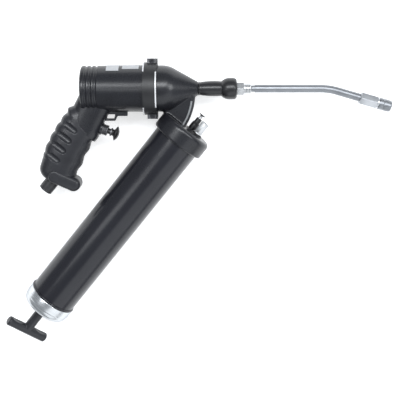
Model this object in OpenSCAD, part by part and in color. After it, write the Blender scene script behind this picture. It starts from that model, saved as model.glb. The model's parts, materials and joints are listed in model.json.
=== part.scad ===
// Air-operated pistol-grip grease gun, resting on its left side.
// X runs along the pump towards the nozzle, Y towards the top of the gun, Z up to its right side.
// The gun is drawn about the point where the pump axis and the barrel axis cross.

/* [Layout] */
// Angle of the barrel below the pump axis
barrel_angle = 51.3; // [48:0.1:55]
// Angle of the grip below the pump axis
grip_angle = 62; // [59:0.5:65]
// Angle of the air inlet below the pump axis
inlet_angle = 50; // [48:0.5:54]
// Distance from the axis crossing back to the clamp joint
joint_back = 80.3; // [77:0.1:86]
// Distance from the clamp joint back to the grip's axis, on the pump axis
grip_back = 59.9; // [56:0.1:63]

/* [Air cylinder] */
// Outside diameter of the air cylinder at its front end
motor_d = 54.6; // [53:0.2:57]
// How much the cylinder's radius tapers in towards the rear
motor_draft = 0.7; // [0.2:0.1:1.2]
// Length of the air cylinder from its rear face to the clamp joint
motor_len = 80.2; // [76:0.1:84]
// Bore of the air cylinder
motor_bore = 46; // [42:0.5:47]
// Thickness of the closed rear wall
rear_wall = 9; // [8:0.5:11]
// Radius of the rounded rear edge
rear_round = 2.5; // [1:0.5:4]
// Number of grooves round the rear end
groove_count = 3; // [1:1:4]
// Distance from the rear face to the first groove
groove_first = 6.2; // [5:0.1:8]
// Spacing of the grooves
groove_pitch = 5.8; // [5:0.1:7]
// Depth of the grooves
groove_depth = 1.1; // [0.5:0.1:1.6]
// Radius of a groove's round bottom
groove_round = 2; // [1.5:0.1:2.5]
// Width of the hanging eye's casting
eye_t = 7; // [5:0.5:10]

/* [Air motor] */
// Length of the air piston
piston_len = 14; // [12:0.5:16]
// Working stroke of the air piston
piston_stroke = 32; // [26:1:33]
// Diameter of the grease plunger
plunger_d = 8; // [7:0.5:9]
// How far the resting plunger reaches past the clamp joint
plunger_lead = 18; // [16:0.5:19]
// Wall of the pump's liner
liner_wall = 3.4; // [2.5:0.1:3.6]

/* [Clamp] */
// Width of the clamp band
clamp_w = 16; // [14:0.2:18]
// Thickness of the band outside the flanges
clamp_t = 2; // [1.5:0.1:3]
// Width of each casting's clamped flange
flange_w = 3.2; // [2.5:0.1:4]
// Height of the clamped flanges
flange_h = 1.3; // [1:0.1:2]
// Height of the ears outside the band
ear_h = 4.2; // [4:0.1:6]
// Thickness of one ear
ear_t = 7; // [6:0.5:9]
// Width of the slot between the two halves
clamp_slot = 1.6; // [1:0.1:3]
// Thread diameter of the clamp screws
screw_d = 4; // [3:0.5:4]

/* [Pump head] */
// Outside diameter of the pump head behind its cone
head_d = 54; // [52:0.2:56]
// Length of the pump head's straight part
head_straight = 14.1; // [12:0.1:17]
// Radius of the turn from the straight part into the cone
cone_round = 28; // [22:1:34]
// Half angle of the cone
cone_angle = 29; // [27:0.5:32]
// Diameter of the cone's tip
tip_d = 15.6; // [15:0.2:16.4]
// Thickness of the web between cone and head cap
web_t = 18; // [14:0.5:22]
// Radius of the web's curved front edge
web_round = 69; // [60:1:80]
// Width of the bevel along the web's front edge
web_bevel = 4; // [2:0.5:6]
// Wall of the head cap round the barrel
cap_wall = 4.5; // [3.5:0.1:5]
// Distance from the axis crossing to the top of the head cap
cap_top = 59.2; // [57:0.1:62]
// Length of the head cap
cap_len = 20.2; // [18:0.2:24]
// Thickness of the head cap's roof
cap_roof = 5; // [4:0.5:7]
// Radius of the head cap's rounded top edge
cap_round = 5; // [3:0.5:6]

/* [Barrel] */
// Outside diameter of the barrel
barrel_d = 57; // [56:0.2:58]
// Wall of the barrel
barrel_wall = 1.5; // [1:0.1:2]
// Length of barrel that shows below the head cap
barrel_show = 246.2; // [225:0.2:260]
// How far the bead at the barrel's lower end stands out of the barrel
bead_h = 1.6; // [0.8:0.1:2]
// How far the end cap stands out of the barrel
end_cap_step = 1.3; // [0.6:0.1:1.8]
// Length of the end cap
end_cap_len = 20; // [17:0.5:24]
// Radius of the end cap's rounded shoulder
end_cap_round = 8.5; // [6:0.5:10]
// Sheet thickness of the end cap
end_cap_wall = 1.6; // [1:0.1:2]
// Diameter of the follower rod
rod_d = 8; // [6:0.5:9]

/* [T-handle] */
// Distance from the end cap to the middle of the handle's bar
handle_out = 34; // [28:0.5:40]
// Diameter of the handle's stem
stem_d = 12; // [11:0.5:14]
// Diameter of the handle's bar
bar_d = 11.8; // [10:0.2:13]
// Length of the handle's bar
bar_len = 55; // [50:1:64]
// How far the bar is turned about the rod
bar_turn = 24; // [0:1:90]

/* [Grip] */
// Distance along the grip's axis from the pump axis to the foot's underside
grip_len = 123; // [120:0.5:126]
// Half thickness of the grip sleeve at its middle
sleeve_half = 17; // [16:0.2:19]
// Depth of the sleeve behind the grip's axis
sleeve_rear = 24.3; // [23:0.1:26]
// Depth of the sleeve in front of the grip's axis
sleeve_front = 20.9; // [20:0.2:23]
// Spacing of the ribs and side slots
rib_pitch = 13.6; // [13:0.1:14.2]
// Height of the ribs down the back
rib_h = 1.5; // [0.5:0.1:2.5]
// Spacing of the finger waves
wave_pitch = 20; // [18:1:24]
// Height of the finger waves
wave_h = 0.9; // [0.4:0.1:1.4]
// Number of slots on each side
slot_count = 4; // [2:1:4]
// Half thickness of the neck above the sleeve
neck_half = 15.5; // [14:0.2:17]
// Depth of the neck behind the grip's axis
neck_rear = 17.5; // [16:0.2:19]
// Depth of the neck in front of the grip's axis
neck_front = 23.2; // [22:0.2:25]
// Width of the grip's cast core
core_w = 28; // [26:0.5:30]
// Thickness of the grip's cast core
core_t = 20; // [19:0.5:22]
// Thickness of the grip's foot at its rounded toe
foot_t = 17.2; // [16:0.2:18]
// Thickness of the foot at its rounded rear end
foot_rear_t = 15.2; // [14:0.2:17]
// Half width of the foot
foot_half = 16.2; // [15.6:0.1:17]
// How far the toe reaches in front of the grip's axis
toe_reach = 32.6; // [30:0.2:34]

/* [Air inlet] */
// Outside diameter of the inlet bush
inlet_d = 16.6; // [16:0.1:19]
// Length of the inlet bush that shows
inlet_len = 15.6; // [14:0.2:18]
// Bore of the inlet's pipe thread
inlet_bore = 11.44; // [10:0.02:12]
// Depth of the inlet's pipe thread
inlet_depth = 12; // [10:0.5:12.5]

/* [Trigger] */
// Angle of the trigger below the pump axis
trigger_angle = 19; // [16:0.5:22]
// Distance down the grip's axis to the trigger's seat
trigger_drop = 40.5; // [39:0.1:42]
// Outside diameter of the trigger's bushing
bushing_d = 13; // [12.5:0.1:14]
// Length of the bushing that shows
bushing_len = 6.5; // [5.5:0.1:7.5]
// Diameter of the button's stem
button_stem_d = 6.8; // [6:0.1:7.2]
// Diameter of the button's head
button_d = 17.4; // [15:0.2:19]
// How far the button is pressed in
trigger_travel = 3; // [2:0.1:4]

/* [Head cap fittings] */
// Diameter of the bleed valve's body
bleeder_d = 9.4; // [8.6:0.2:10]
// How far the bleed stem is pressed in
bleeder_travel = 2.2; // [1.5:0.1:2.5]
// Diameter of the bleed stem's head
bleeder_head_d = 9.2; // [8:0.2:10]
// Hexagon of the filling nipple across its flats
filler_hex = 9.2; // [8.5:0.1:10]
// Length of the filling nipple above its washer
filler_len = 16; // [13:0.5:19]

/* [Outlet] */
// Length of the outlet neck from the cone's tip to its flat end
outlet_len = 45.1; // [43:0.1:50]
// Largest diameter of the outlet's waist
outlet_d = 18; // [17:0.2:19]
// Diameter of the ball end
ball_end_d = 25.2; // [24:0.2:27]
// Diameter of the check ball
check_d = 6.8; // [6:0.2:7]
// Hexagon of the pipe adapter across its flats
adapter_hex = 14; // [13:0.5:16]
// Length of the adapter's hexagon
adapter_hex_len = 8.2; // [6:0.2:10]
// Length of the adapter's round collar
adapter_collar_len = 8.8; // [7:0.2:11]

/* [Pipe and coupler] */
// Outside diameter of the delivery pipe
pipe_d = 9.4; // [9:0.1:10.5]
// Bore of the delivery pipe
pipe_bore = 4.4; // [3:0.2:5]
// Length of pipe from its shoulder to the corner of its bend
pipe_straight = 87; // [70:0.5:110]
// Length of pipe from the corner of its bend to the coupler
pipe_leg = 38.1; // [30:0.1:50]
// Angle of the pipe's bend
pipe_bend = 16; // [12:0.5:20]
// Radius of the pipe's bend
bend_r = 80; // [50:1:100]
// Hexagon of the coupler across its flats
coupler_hex = 13.4; // [12.6:0.1:14.5]
// Length of the coupler's hexagon
coupler_hex_len = 21; // [18:0.5:25]
// Length of the coupler's nose
coupler_nose_len = 15.3; // [14.6:0.1:18]
// Bore of the coupler's mouth
mouth_d = 7; // [6.6:0.1:7.4]

/* [Hidden] */
$fn = 64;
// Clearance of pieces that are screwed, pressed or laid together
seat = 0.1;
// Running clearance of pieces that slide in each other, on the radius
run = 0.06;
// Clearance where a moving piece comes to rest
stop_gap = 0.3;
// Small overlap that makes cuts and unions clean
eps = 0.5;
// Wire radius and side count of small coil springs
fine_wire = 0.4;
coil_sides = 5;
coil_steps = 12;

// Main radii
motor_r = motor_d / 2;
bore_r = motor_bore / 2;
head_r = head_d / 2;
flange_r = motor_r + flange_h;
band_r = flange_r + clamp_t;
barrel_r = barrel_d / 2;
cap_r = barrel_r + seat + cap_wall;
bead_r = barrel_r + bead_h;
end_cap_r = barrel_r + end_cap_step;
tube_r = barrel_r - barrel_wall;
rod_r = rod_d / 2;
plunger_r = plunger_d / 2;
pipe_r = pipe_d / 2;
tip_r = tip_d / 2;

// Places along the pump axis
joint_x = -joint_back;
motor_rear_x = joint_x - motor_len;
bore_rear_x = motor_rear_x + rear_wall;
gasket_t = 1;
piston_gap = 2;
piston_rear_x = bore_rear_x + piston_gap;
piston_front_x = piston_rear_x + piston_len;
spigot_len = 4;
spigot_x = joint_x - spigot_len;
cone_start_x = joint_x + head_straight;
cone_turn_x = cone_start_x + cone_round * sin(cone_angle);
cone_turn_r = head_r - cone_round * (1 - cos(cone_angle));
tip_x = cone_turn_x + (cone_turn_r - tip_r) / tan(cone_angle);
packing_len = 8;
packing_wall = 4;
packing_r = plunger_r + packing_wall;
packing_end_x = spigot_x + packing_len;
plunger_socket = 6;
plunger_tip_x = joint_x + plunger_lead;
packing_shoulder = 2;
liner_start_x = packing_end_x + packing_shoulder;
plunger_over = 1;
liner_end_x = plunger_tip_x + piston_stroke + plunger_over;
liner_r = plunger_r + run + liner_wall;
gallery_r = 3;
gallery_x = plunger_tip_x + 2 * gallery_r;
outlet_end_x = tip_x + outlet_len;

// Places along the barrel axis
cap_hollow_s = cap_top + cap_roof;
barrel_gasket_t = 1.5;
barrel_top_s = cap_hollow_s + barrel_gasket_t;
cap_end_s = cap_top + cap_len;
barrel_end_s = cap_end_s + barrel_show;
end_cap_end_s = barrel_end_s + end_cap_len;
follower_gap = 2.5;
follower_s = barrel_top_s + follower_gap;
bar_s = end_cap_end_s + handle_out;

// Grip: places along its axis, measured from the pump axis
grip_x = joint_x - grip_back;
foot_x = grip_x - grip_len * cos(grip_angle);
foot_y = -grip_len * sin(grip_angle);
inlet_lean = grip_angle - inlet_angle;
core_end = grip_len - foot_t;
neck_start = 12;
neck_start_slope = 0.2;
neck_end = 50;
sleeve_start = 38;
sleeve_start_slope = 0.56;

// Delivery pipe
adapter_x = outlet_end_x;
collar_x = adapter_x + adapter_hex_len;
collar_end_x = collar_x + adapter_collar_len;
pipe_neck_len = 4.1;
pipe_x = collar_end_x + pipe_neck_len;
corner_x = pipe_x + pipe_straight;
bend_reach = bend_r * tan(pipe_bend / 2);
coupler_x = corner_x + pipe_leg * cos(pipe_bend);
coupler_y = -pipe_leg * sin(pipe_bend);
coupler_ring_len = 2;
coupler_len = coupler_hex_len + coupler_ring_len + coupler_nose_len;
coupler_proud = 0.2;
coupler_r = coupler_hex / 2 + coupler_proud;

// The whole gun's reach, which centres it on the origin with its right side up
bar_edge = 1.4;
bar_dir_x = cos(bar_turn) * sin(barrel_angle);
bar_dir_y = cos(bar_turn) * cos(barrel_angle);
function bar_reach(along) = along * (bar_len / 2 - bar_edge) + sqrt(1 - pow(along, 2)) * bar_d / 2;
nose_edge = 1.4;
reach_right = coupler_x + coupler_len * cos(pipe_bend) + (coupler_r - nose_edge) * sin(pipe_bend);
reach_left = -bar_s * cos(barrel_angle) - bar_reach(bar_dir_x);
reach_up = band_r + ear_h;
reach_down = -bar_s * sin(barrel_angle) - bar_reach(bar_dir_y);
gun_x = -(reach_right + reach_left) / 2;
gun_y = -(reach_up + reach_down) / 2;
gun_z = cap_r;

// Frames. In each one the child's Z runs along the named axis.
module gun() {
  translate([gun_x, gun_y, gun_z]) children();
}

module axis_at(x, y, angle) {
  gun() translate([x, y, 0]) rotate([0, 0, angle]) rotate([0, 90, 0]) children();
}

module pump_axis() {
  axis_at(0, 0, 0) children();
}

module barrel_axis() {
  axis_at(0, 0, 180 + barrel_angle) children();
}

module grip_axis() {
  axis_at(grip_x, 0, 180 + grip_angle) children();
}

module inlet_axis() {
  axis_at(foot_x, foot_y, 180 + inlet_angle) children();
}

// The trigger's seat lies just proud of the neck's front
trigger_boss_h = 1.6;
trigger_w = neck_front + trigger_boss_h;
trigger_x = grip_x - trigger_drop * cos(grip_angle) + trigger_w * sin(grip_angle);
trigger_y = -trigger_drop * sin(grip_angle) - trigger_w * cos(grip_angle);

module trigger_axis() {
  axis_at(trigger_x, trigger_y, -trigger_angle) children();
}

module coupler_axis() {
  axis_at(coupler_x, coupler_y, -pipe_bend) children();
}

// A fitting on the head cap's roof: how far in front of the barrel axis, and how far to the right side
module on_cap(forward, side) {
  barrel_axis() translate([-side, forward, cap_top]) rotate([180, 0, 0]) children();
}

// Shapes that repeat
function arc(cx, cy, r, from, to, n) =
  [for (i = [0:n]) let (a = from + (to - from) * i / n) [cx + r * cos(a), cy + r * sin(a)]];

function round_box(w, h, r) = concat(
  arc(w / 2 - r, h / 2 - r, r, 0, 90, 6),
  arc(r - w / 2, h / 2 - r, r, 90, 180, 6),
  arc(r - w / 2, r - h / 2, r, 180, 270, 6),
  arc(w / 2 - r, r - h / 2, r, 270, 360, 6)
);

module turned(profile) {
  rotate_extrude() polygon(profile);
}

module rod(r, from, to) {
  translate([0, 0, from]) cylinder(r = r, h = to - from);
}

module ring(r_in, r_out, from, to) {
  difference() {
    rod(r_out, from, to);
    rod(r_in, from - eps, to + eps);
  }
}

// A hexagon bar with turned chamfers at both ends
module hexagon(flats, from, to, chamfer) {
  corner = flats / 2 / cos(30);
  intersection() {
    translate([0, 0, from]) cylinder(r = corner, h = to - from, $fn = 6);
    turned([
      [0, from], [corner - chamfer, from], [corner, from + chamfer / 2],
      [corner, to - chamfer / 2], [corner - chamfer, to], [0, to]
    ]);
  }
}

// A tube of rings of points, closed at both ends
module skin(rings) {
  n = len(rings[0]);
  last = len(rings) - 1;
  polyhedron(
    points = [for (points = rings, p = points) p],
    faces = concat(
      [[for (j = [0:n - 1]) j]],
      [for (i = [0:last - 1], j = [0:n - 1]) let (a = i * n + j, b = i * n + (j + 1) % n) [a, a + n, b]],
      [for (i = [0:last - 1], j = [0:n - 1]) let (a = i * n + j, b = i * n + (j + 1) % n) [b, a + n, b + n]],
      [[for (j = [n - 1:-1:0]) last * n + j]]
    )
  );
}

// A coil spring that stands between two heights
module coil(mean_r, wire_r, from, to, turns) {
  steps = turns * coil_steps;
  low = from + wire_r;
  rise = to - from - 2 * wire_r;
  skin([
    for (i = [0:steps])
      let (a = 360 * i / coil_steps, z = low + rise * i / steps)
        [for (j = [0:coil_sides - 1])
          let (b = -360 * j / coil_sides, r = mean_r + wire_r * cos(b))
            [r * cos(a), r * sin(a), z + wire_r * sin(b)]]
  ]);
}

// Grip sections: rounded rings in slanted planes across the grip's axis
section_points = 28;
section_power = 0.74;
function bulge(v) = sign(v) * pow(abs(v), section_power);
function section(at, slope, rear, front, half) = [
  for (j = [0:section_points - 1])
    let (
      a = -360 * j / section_points,
      w = (front - rear) / 2 + (front + rear) / 2 * bulge(cos(a))
    )
      [half * bulge(sin(a)), w, at + slope * w]
];
function mix(a, b, u) = a + (b - a) * u;
function ease(u) = let (v = max(0, min(1, u))) v * v * (3 - 2 * v);

// Neck between the air cylinder and the sleeve
neck_rings = 14;
neck_swell = 0.6;
neck_heel_at = 51;
neck_heel_h = 1.6;
neck_heel_len = 6;
function neck_fore(t) = neck_front + neck_heel_h * exp(-pow((t - neck_heel_at) / neck_heel_len, 2));
function neck_ring(u) =
  let (
    at = mix(neck_start, neck_end, u),
    slope = mix(neck_start_slope, sleeve_start_slope, u)
  )
    section(at, slope, neck_rear, neck_fore(at + slope * neck_front), neck_half + neck_swell * u);

// The neck's side of the curved parting line between neck and sleeve
parting_w = 9.5;
parting_t = 35;
parting_r = 16;
parting_from = 180;
parting_to = 108;
parting_back = [[-40, 31], [-17, 32.5]];
parting_run = 40;
module neck_side(gap) {
  r = parting_r + gap;
  end = [parting_w + r * cos(parting_to), parting_t + r * sin(parting_to)];
  translate([-2 * sleeve_half, 0, 0]) rotate([90, 0, 90]) linear_extrude(4 * sleeve_half) polygon(concat(
    [[-parting_run, -grip_len]],
    [for (p = parting_back) p + [0, gap]],
    arc(parting_w, parting_t, r, parting_from, parting_to, 8),
    [end + parting_run * [sin(parting_to), -cos(parting_to)], [2 * parting_run, -grip_len]]
  ));
}

// Sleeve with ribs down its back, finger waves down its front and a rounded heel
sleeve_rings = 40;
heel_rings = 5;
heel_r = 8.2;
heel_side = 2.6;
sleeve_mid = 79;
sleeve_curve = 36;
sleeve_sag = 3.5;
sleeve_waist = 1.4;
rib_first = 47.8;
rib_last = 102;
rib_fade = 5;
wave_first = 69.4;
wave_rise = 0.025;
brow_at = 54;
brow_h = 3.2;
brow_len = 5;
heel_u = 1 - heel_r / (grip_len - sleeve_start);
function sleeve_back(t) =
  sleeve_rear - sleeve_sag * pow((t - sleeve_mid) / sleeve_curve, 2)
  + rib_h * abs(cos(180 * (t - rib_first) / rib_pitch)) * ease((rib_last - t) / rib_fade);
function sleeve_fore(t) =
  sleeve_front + wave_rise * (t - sleeve_mid) + wave_h * cos(360 * (t - wave_first) / wave_pitch)
  + brow_h * exp(-pow((t - brow_at) / brow_len, 2));
function sleeve_ring(u) =
  let (
    at = mix(sleeve_start, grip_len, u),
    slope = mix(sleeve_start_slope, 0, u),
    draw = 1 - sqrt(1 - pow(max(0, u - heel_u) / (1 - heel_u), 2))
  )
    section(
      at, slope,
      sleeve_back(at - slope * sleeve_rear) - heel_r * draw,
      sleeve_fore(at + slope * sleeve_front),
      sleeve_half - sleeve_waist * pow(2 * u - 1, 2) - heel_side * draw
    );
sleeve_levels = concat(
  [for (i = [0:sleeve_rings]) heel_u * i / sleeve_rings],
  [for (i = [1:heel_rings]) mix(heel_u, 1, sin(90 * i / heel_rings))]
);

module grip_core(margin, from, to) {
  translate([0, 0, from]) linear_extrude(to - from)
    polygon(round_box(core_t + 2 * margin, core_w + 2 * margin, core_t / 4));
}

// Casting with the air cylinder, its closed rear end, the neck, the grip's core and the hanging eye
inlet_shoulder = 1.8;
inlet_spigot_r = inlet_d / 2 - inlet_shoulder;
inlet_grip = 10;
inlet_root = -foot_t / cos(inlet_lean) - inlet_grip;
inlet_sink = 2.2;
air_channel_r = 4;
air_channel_w = 2;
air_port_r = 2;
bushing_shoulder = 1.1;
valve_bore_r = bushing_d / 2 - bushing_shoulder;
valve_end = -29;
bushing_root = -12;
poppet_len = 2.8;
boss_wall = 1;
// Drilling from the valve up into the rear of the air cylinder
air_port_at = bushing_root - air_port_r;
air_port_x = trigger_x + air_port_at * cos(trigger_angle);
air_port_y = trigger_y - air_port_at * sin(trigger_angle);
air_port_over = 3;
air_port_len = -air_port_y - bore_r + air_port_over;
module motor_housing() {
  color("#1b1c1f") difference() {
    union() {
      pump_axis() motor_shell();
      grip_axis() intersection() {
        skin([for (i = [0:neck_rings]) neck_ring(i / neck_rings)]);
        neck_side(0);
      }
      grip_axis() grip_core(0, neck_start, core_end);
      trigger_axis() rod(bushing_d / 2 + boss_wall, bushing_root, 0);
      hanging_eye();
    }
    pump_axis() rod(bore_r, bore_rear_x, joint_x);
    trigger_axis() rod(valve_bore_r, valve_end - stop_gap, eps);
    gun() translate([air_port_x, air_port_y, 0]) rotate([-90, 0, 0]) cylinder(r = air_port_r, h = air_port_len);
    grip_axis() translate([0, air_channel_w, trigger_drop + air_channel_r])
      cylinder(r = air_channel_r, h = grip_len / 2);
    inlet_axis() rod(inlet_spigot_r + seat, inlet_root - seat, 0);
    inlet_axis() rod(air_channel_r, inlet_root - inlet_grip, 0);
  }
}

module motor_shell() {
  rear_r = motor_r - motor_draft;
  front_x = joint_x - gasket_t / 2;
  difference() {
    turned(concat(
      [[0, motor_rear_x]],
      arc(rear_r - rear_round, motor_rear_x + rear_round, rear_round, -90, 0, 5),
      [
        [motor_r, front_x - flange_w], [flange_r, front_x - flange_w],
        [flange_r, front_x], [0, front_x]
      ]
    ));
    for (i = [0:groove_count - 1])
      translate([0, 0, motor_rear_x + groove_first + i * groove_pitch])
        rotate_extrude() translate([rear_r + groove_round - groove_depth, 0]) circle(groove_round);
  }
}

// Cast eye under the air cylinder, with a slanted hole through it
eye_hole_w = 8.8;
eye_hole_h = 5;
eye_bar = 2.6;
eye_lean = 1.3;
eye_plate_len = 11.8;
eye_plate_drop = 4.6;
eye_start = 6.6;
eye_root = 8;
eye_sink = 3;
module hanging_eye() {
  left = trigger_x + eye_start;
  roof = -motor_r - eye_bar;
  low = roof - eye_hole_h;
  right = left + eye_hole_w;
  gun() difference() {
    translate([0, 0, -eye_t / 2]) linear_extrude(eye_t) polygon([
      [left - eye_root, eye_sink - motor_r], [right + eye_bar + eye_plate_len, eye_sink - motor_r],
      [right + eye_bar + eye_plate_len, -motor_r - eye_plate_drop],
      [right + eye_bar, -motor_r - eye_plate_drop],
      [right + eye_bar - 2 * eye_lean, low - eye_bar], [left - eye_root, low - eye_bar]
    ]);
    translate([0, 0, -eye_t]) linear_extrude(2 * eye_t) polygon([
      [left, roof], [right, roof], [right - eye_lean, low], [left - eye_lean, low]
    ]);
  }
}

// Moulded sleeve pushed over the grip's core
slot_lean = 8.5;
slot_yaw = 8.5;
slot_len = 13;
slot_r = 4.4;
slot_depth = 2.8;
slot_first = rib_first + rib_pitch / 2;
slot_w = -8.6;
slot_drift = -0.9;
module grip_sleeve() {
  color("#222326") difference() {
    grip_axis() difference() {
      skin([for (u = sleeve_levels) sleeve_ring(u)]);
      neck_side(seat);
      grip_core(seat, 0, foot_plug_end + seat);
      foot_pad(seat);
      translate([-2 * sleeve_half, foot_rear_w, foot_plug_end]) cube([4 * sleeve_half, 2 * toe_reach, foot_t]);
      for (i = [0:slot_count - 1], side = [-1, 1])
        translate([side * (sleeve_half + slot_r - slot_depth), slot_w + i * slot_drift, slot_first + i * rib_pitch])
          rotate([0, 0, -side * slot_yaw]) rotate([slot_lean - 90, 0, 0]) capsule(slot_r, slot_len);
    }
    inlet_axis() rod(inlet_d / 2 + seat, -inlet_sink, inlet_len);
    inlet_axis() rod(inlet_spigot_r + seat, inlet_root, 0);
  }
}

module capsule(r, length) {
  for (end = [-1, 1]) translate([0, 0, end * length / 2]) sphere(r);
  cylinder(r = r, h = length, center = true);
}

// Foot of the grip: a thick pad with a round rear end, a round toe and a plug that fills the sleeve
toe_r = foot_t / 2;
foot_rear_r = foot_rear_t / 2;
foot_rear_w = 0.6;
foot_edge = 2.6;
toe_half = 13;
toe_edge = 5;
foot_plug_end = grip_len - foot_rear_r;
module foot_pad(margin) {
  hull() {
    foot_disc(foot_rear_w, foot_rear_r, foot_half, foot_edge, margin);
    foot_disc(toe_reach - toe_r, toe_r, toe_half, toe_edge, margin);
  }
}

module foot_disc(w, r, half, edge, margin) {
  translate([0, w, grip_len - r]) rotate([0, 90, 0]) rotate_extrude($fn = 40) polygon(concat(
    [[0, -half - margin]],
    arc(r - edge, edge - half, edge + margin, -90, 0, 4),
    arc(r - edge, half - edge, edge + margin, 0, 90, 4),
    [[0, half + margin]]
  ));
}

module grip_base() {
  color("#222326") difference() {
    grip_axis() union() {
      foot_pad(0);
      grip_core(0, core_end + seat, foot_plug_end);
    }
    inlet_axis() rod(inlet_spigot_r + seat, inlet_root, inlet_len);
    inlet_axis() rod(inlet_d / 2 + seat, -inlet_sink, inlet_len);
  }
}

// Round bush with an inside pipe thread, screwed through the foot into the core
inlet_edge = 1;
module air_inlet() {
  through = inlet_len - inlet_depth;
  shoulder = seat - inlet_sink;
  color("#2b2c2f") inlet_axis() difference() {
    union() {
      turned([
        [0, shoulder], [inlet_d / 2, shoulder], [inlet_d / 2, inlet_len - inlet_edge],
        [inlet_d / 2 - inlet_edge, inlet_len], [0, inlet_len]
      ]);
      rod(inlet_spigot_r, inlet_root, eps);
    }
    rod(inlet_bore / 2, through, inlet_len + eps);
    rod(air_channel_r, inlet_root - eps, through + eps);
  }
}

// Two half bands with a groove over both flanges and an ear at each end
ear_w = 12;
ear_shift = 2.6;
screw_edge = 1.2;
screw_y = band_r + ear_h - screw_d / 2 - screw_edge;
screw_head_step = 0.9;
screw_head_r = screw_d / 2 + screw_head_step;
screw_head_len = 3.5;
socket_depth = 2;
socket_share = 0.8;
module clamp_band() {
  groove = flange_w + gasket_t / 2 + seat;
  difference() {
    union() {
      pump_axis() rod(band_r, joint_x - clamp_w / 2, joint_x + clamp_w / 2);
      for (side = [-1, 1])
        gun() translate([joint_x + ear_shift, side * (band_r + ear_h) / 2, 0])
          cube([ear_w, band_r + ear_h, 2 * ear_t + clamp_slot], center = true);
    }
    pump_axis() rod(flange_r + seat, joint_x - groove, joint_x + groove);
    pump_axis() rod(motor_r + seat, joint_x - clamp_w, joint_x);
    pump_axis() rod(head_r + seat, joint_x, joint_x + clamp_w);
    at_screws() rod(screw_d / 2 + seat, -ear_t - clamp_slot, ear_t + clamp_slot);
    at_screws() rod(screw_head_r + seat, ear_t + clamp_slot / 2 - screw_head_len, ear_t + clamp_slot);
  }
}

module at_screws() {
  for (side = [-1, 1]) gun() translate([joint_x + ear_shift, side * screw_y, 0]) children();
}

module half_space(side) {
  reach = 2 * (band_r + ear_h);
  gun() translate([joint_x, 0, side * (clamp_slot / 2 + reach / 2)]) cube(reach, center = true);
}

module clamp_half_near() {
  color("#1d1e20") intersection() {
    clamp_band();
    half_space(1);
  }
}

module clamp_half_far() {
  color("#1d1e20") intersection() {
    clamp_band();
    half_space(-1);
  }
}

module clamp_screws() {
  head_top = ear_t + clamp_slot / 2;
  socket = screw_d * socket_share;
  color("#3a3b3d") at_screws() difference() {
    union() {
      rod(screw_d / 2, -head_top, head_top - screw_head_len);
      rod(screw_head_r, head_top - screw_head_len + seat, head_top);
      rod(screw_d / 2, 0, head_top - socket_depth / 2);
    }
    translate([0, 0, head_top - socket_depth]) cylinder(d = socket, h = socket_depth + eps, $fn = 6);
  }
}

module head_gasket() {
  color("#2a2a2a") pump_axis() ring(bore_r, flange_r - gasket_t, joint_x - gasket_t / 2, joint_x + gasket_t / 2);
}

// Air motor
seal_w = 4;
seal_depth = 3.4;
seal_x = piston_rear_x + piston_len / 2;
plunger_edge = 1;
module air_piston() {
  piston_r = bore_r - run;
  color("#a8abae") pump_axis() difference() {
    rod(piston_r, piston_rear_x, piston_front_x);
    ring(piston_r - seal_depth, piston_r + eps, seal_x - seal_w / 2, seal_x + seal_w / 2);
    rod(plunger_r, piston_front_x - plunger_socket, piston_front_x + eps);
  }
}

module piston_seal() {
  color("#151515") pump_axis()
    ring(bore_r - run - seal_depth + seat, bore_r - run, seal_x - seal_w / 2 + seat, seal_x + seal_w / 2 - seat);
}

module plunger() {
  color("#c4c6c8") pump_axis() turned([
    [0, piston_front_x - plunger_socket], [plunger_r - seat / 2, piston_front_x - plunger_socket],
    [plunger_r - seat / 2, piston_front_x], [plunger_r, piston_front_x],
    [plunger_r, plunger_tip_x - plunger_edge], [plunger_r - plunger_edge, plunger_tip_x], [0, plunger_tip_x]
  ]);
}

return_wire = 1.1;
return_gap = 3;
module return_spring() {
  color("#8f9295") pump_axis()
    coil(packing_r + return_gap, return_wire, piston_front_x + stop_gap, spigot_x - stop_gap, 8);
}

// Casting with the pump's cone, the web and the barrel's head cap
web_back = 3.4;
web_centre_x = tip_x - web_back - web_round;
web_centre_y = -6;
boss_h = 1.5;
boss_sink = 1;
bleeder_boss = 1;
filler_boss = 2.4;
head_cap_edge = 1;
gasket_w = 3;
bleeder_forward = 4.7;
bleeder_side = -6.5;
filler_forward = 12.8;
filler_side = 7.5;
fitting_thread_r = 3.4;
module pump_head() {
  front_x = joint_x + gasket_t / 2;
  color("#1b1c1f") difference() {
    union() {
      pump_axis() turned(concat(
        [
          [0, spigot_x], [bore_r - seat, spigot_x], [bore_r - seat, front_x], [flange_r, front_x],
          [flange_r, front_x + flange_w], [head_r, front_x + flange_w]
        ],
        arc_cone(), [[tip_r, tip_x], [0, tip_x]]
      ));
      head_web();
      barrel_axis() head_cap();
      on_cap(bleeder_forward, bleeder_side) rod(bleeder_d / 2 + bleeder_boss, -boss_sink, boss_h);
      on_cap(filler_forward, filler_side) rod(filler_hex / 2 + filler_boss, -boss_sink, boss_h);
    }
    pump_axis() rod(packing_r + seat, spigot_x - eps, packing_end_x);
    pump_axis() rod(plunger_r + stop_gap, spigot_x, liner_start_x + eps);
    pump_axis() rod(liner_r + seat / 2, liner_start_x, liner_end_x + seat);
    pump_axis() rod(outlet_spigot_r + seat, liner_end_x, tip_x + eps);
    gun() translate([gallery_x, 0, 0]) rotate([90, 0, 0]) cylinder(r = gallery_r, h = gallery_len);
    barrel_axis() rod(tube_r - gasket_w, cap_hollow_s, cap_end_s + eps);
    barrel_axis() rod(barrel_r + seat, cap_hollow_s, cap_end_s + eps);
    on_cap(bleeder_forward, bleeder_side) rod(fitting_thread_r + seat, -cap_roof - eps, boss_h + eps);
    on_cap(filler_forward, filler_side) rod(fitting_thread_r + seat, -cap_roof - eps, boss_h + eps);
  }
}

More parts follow.
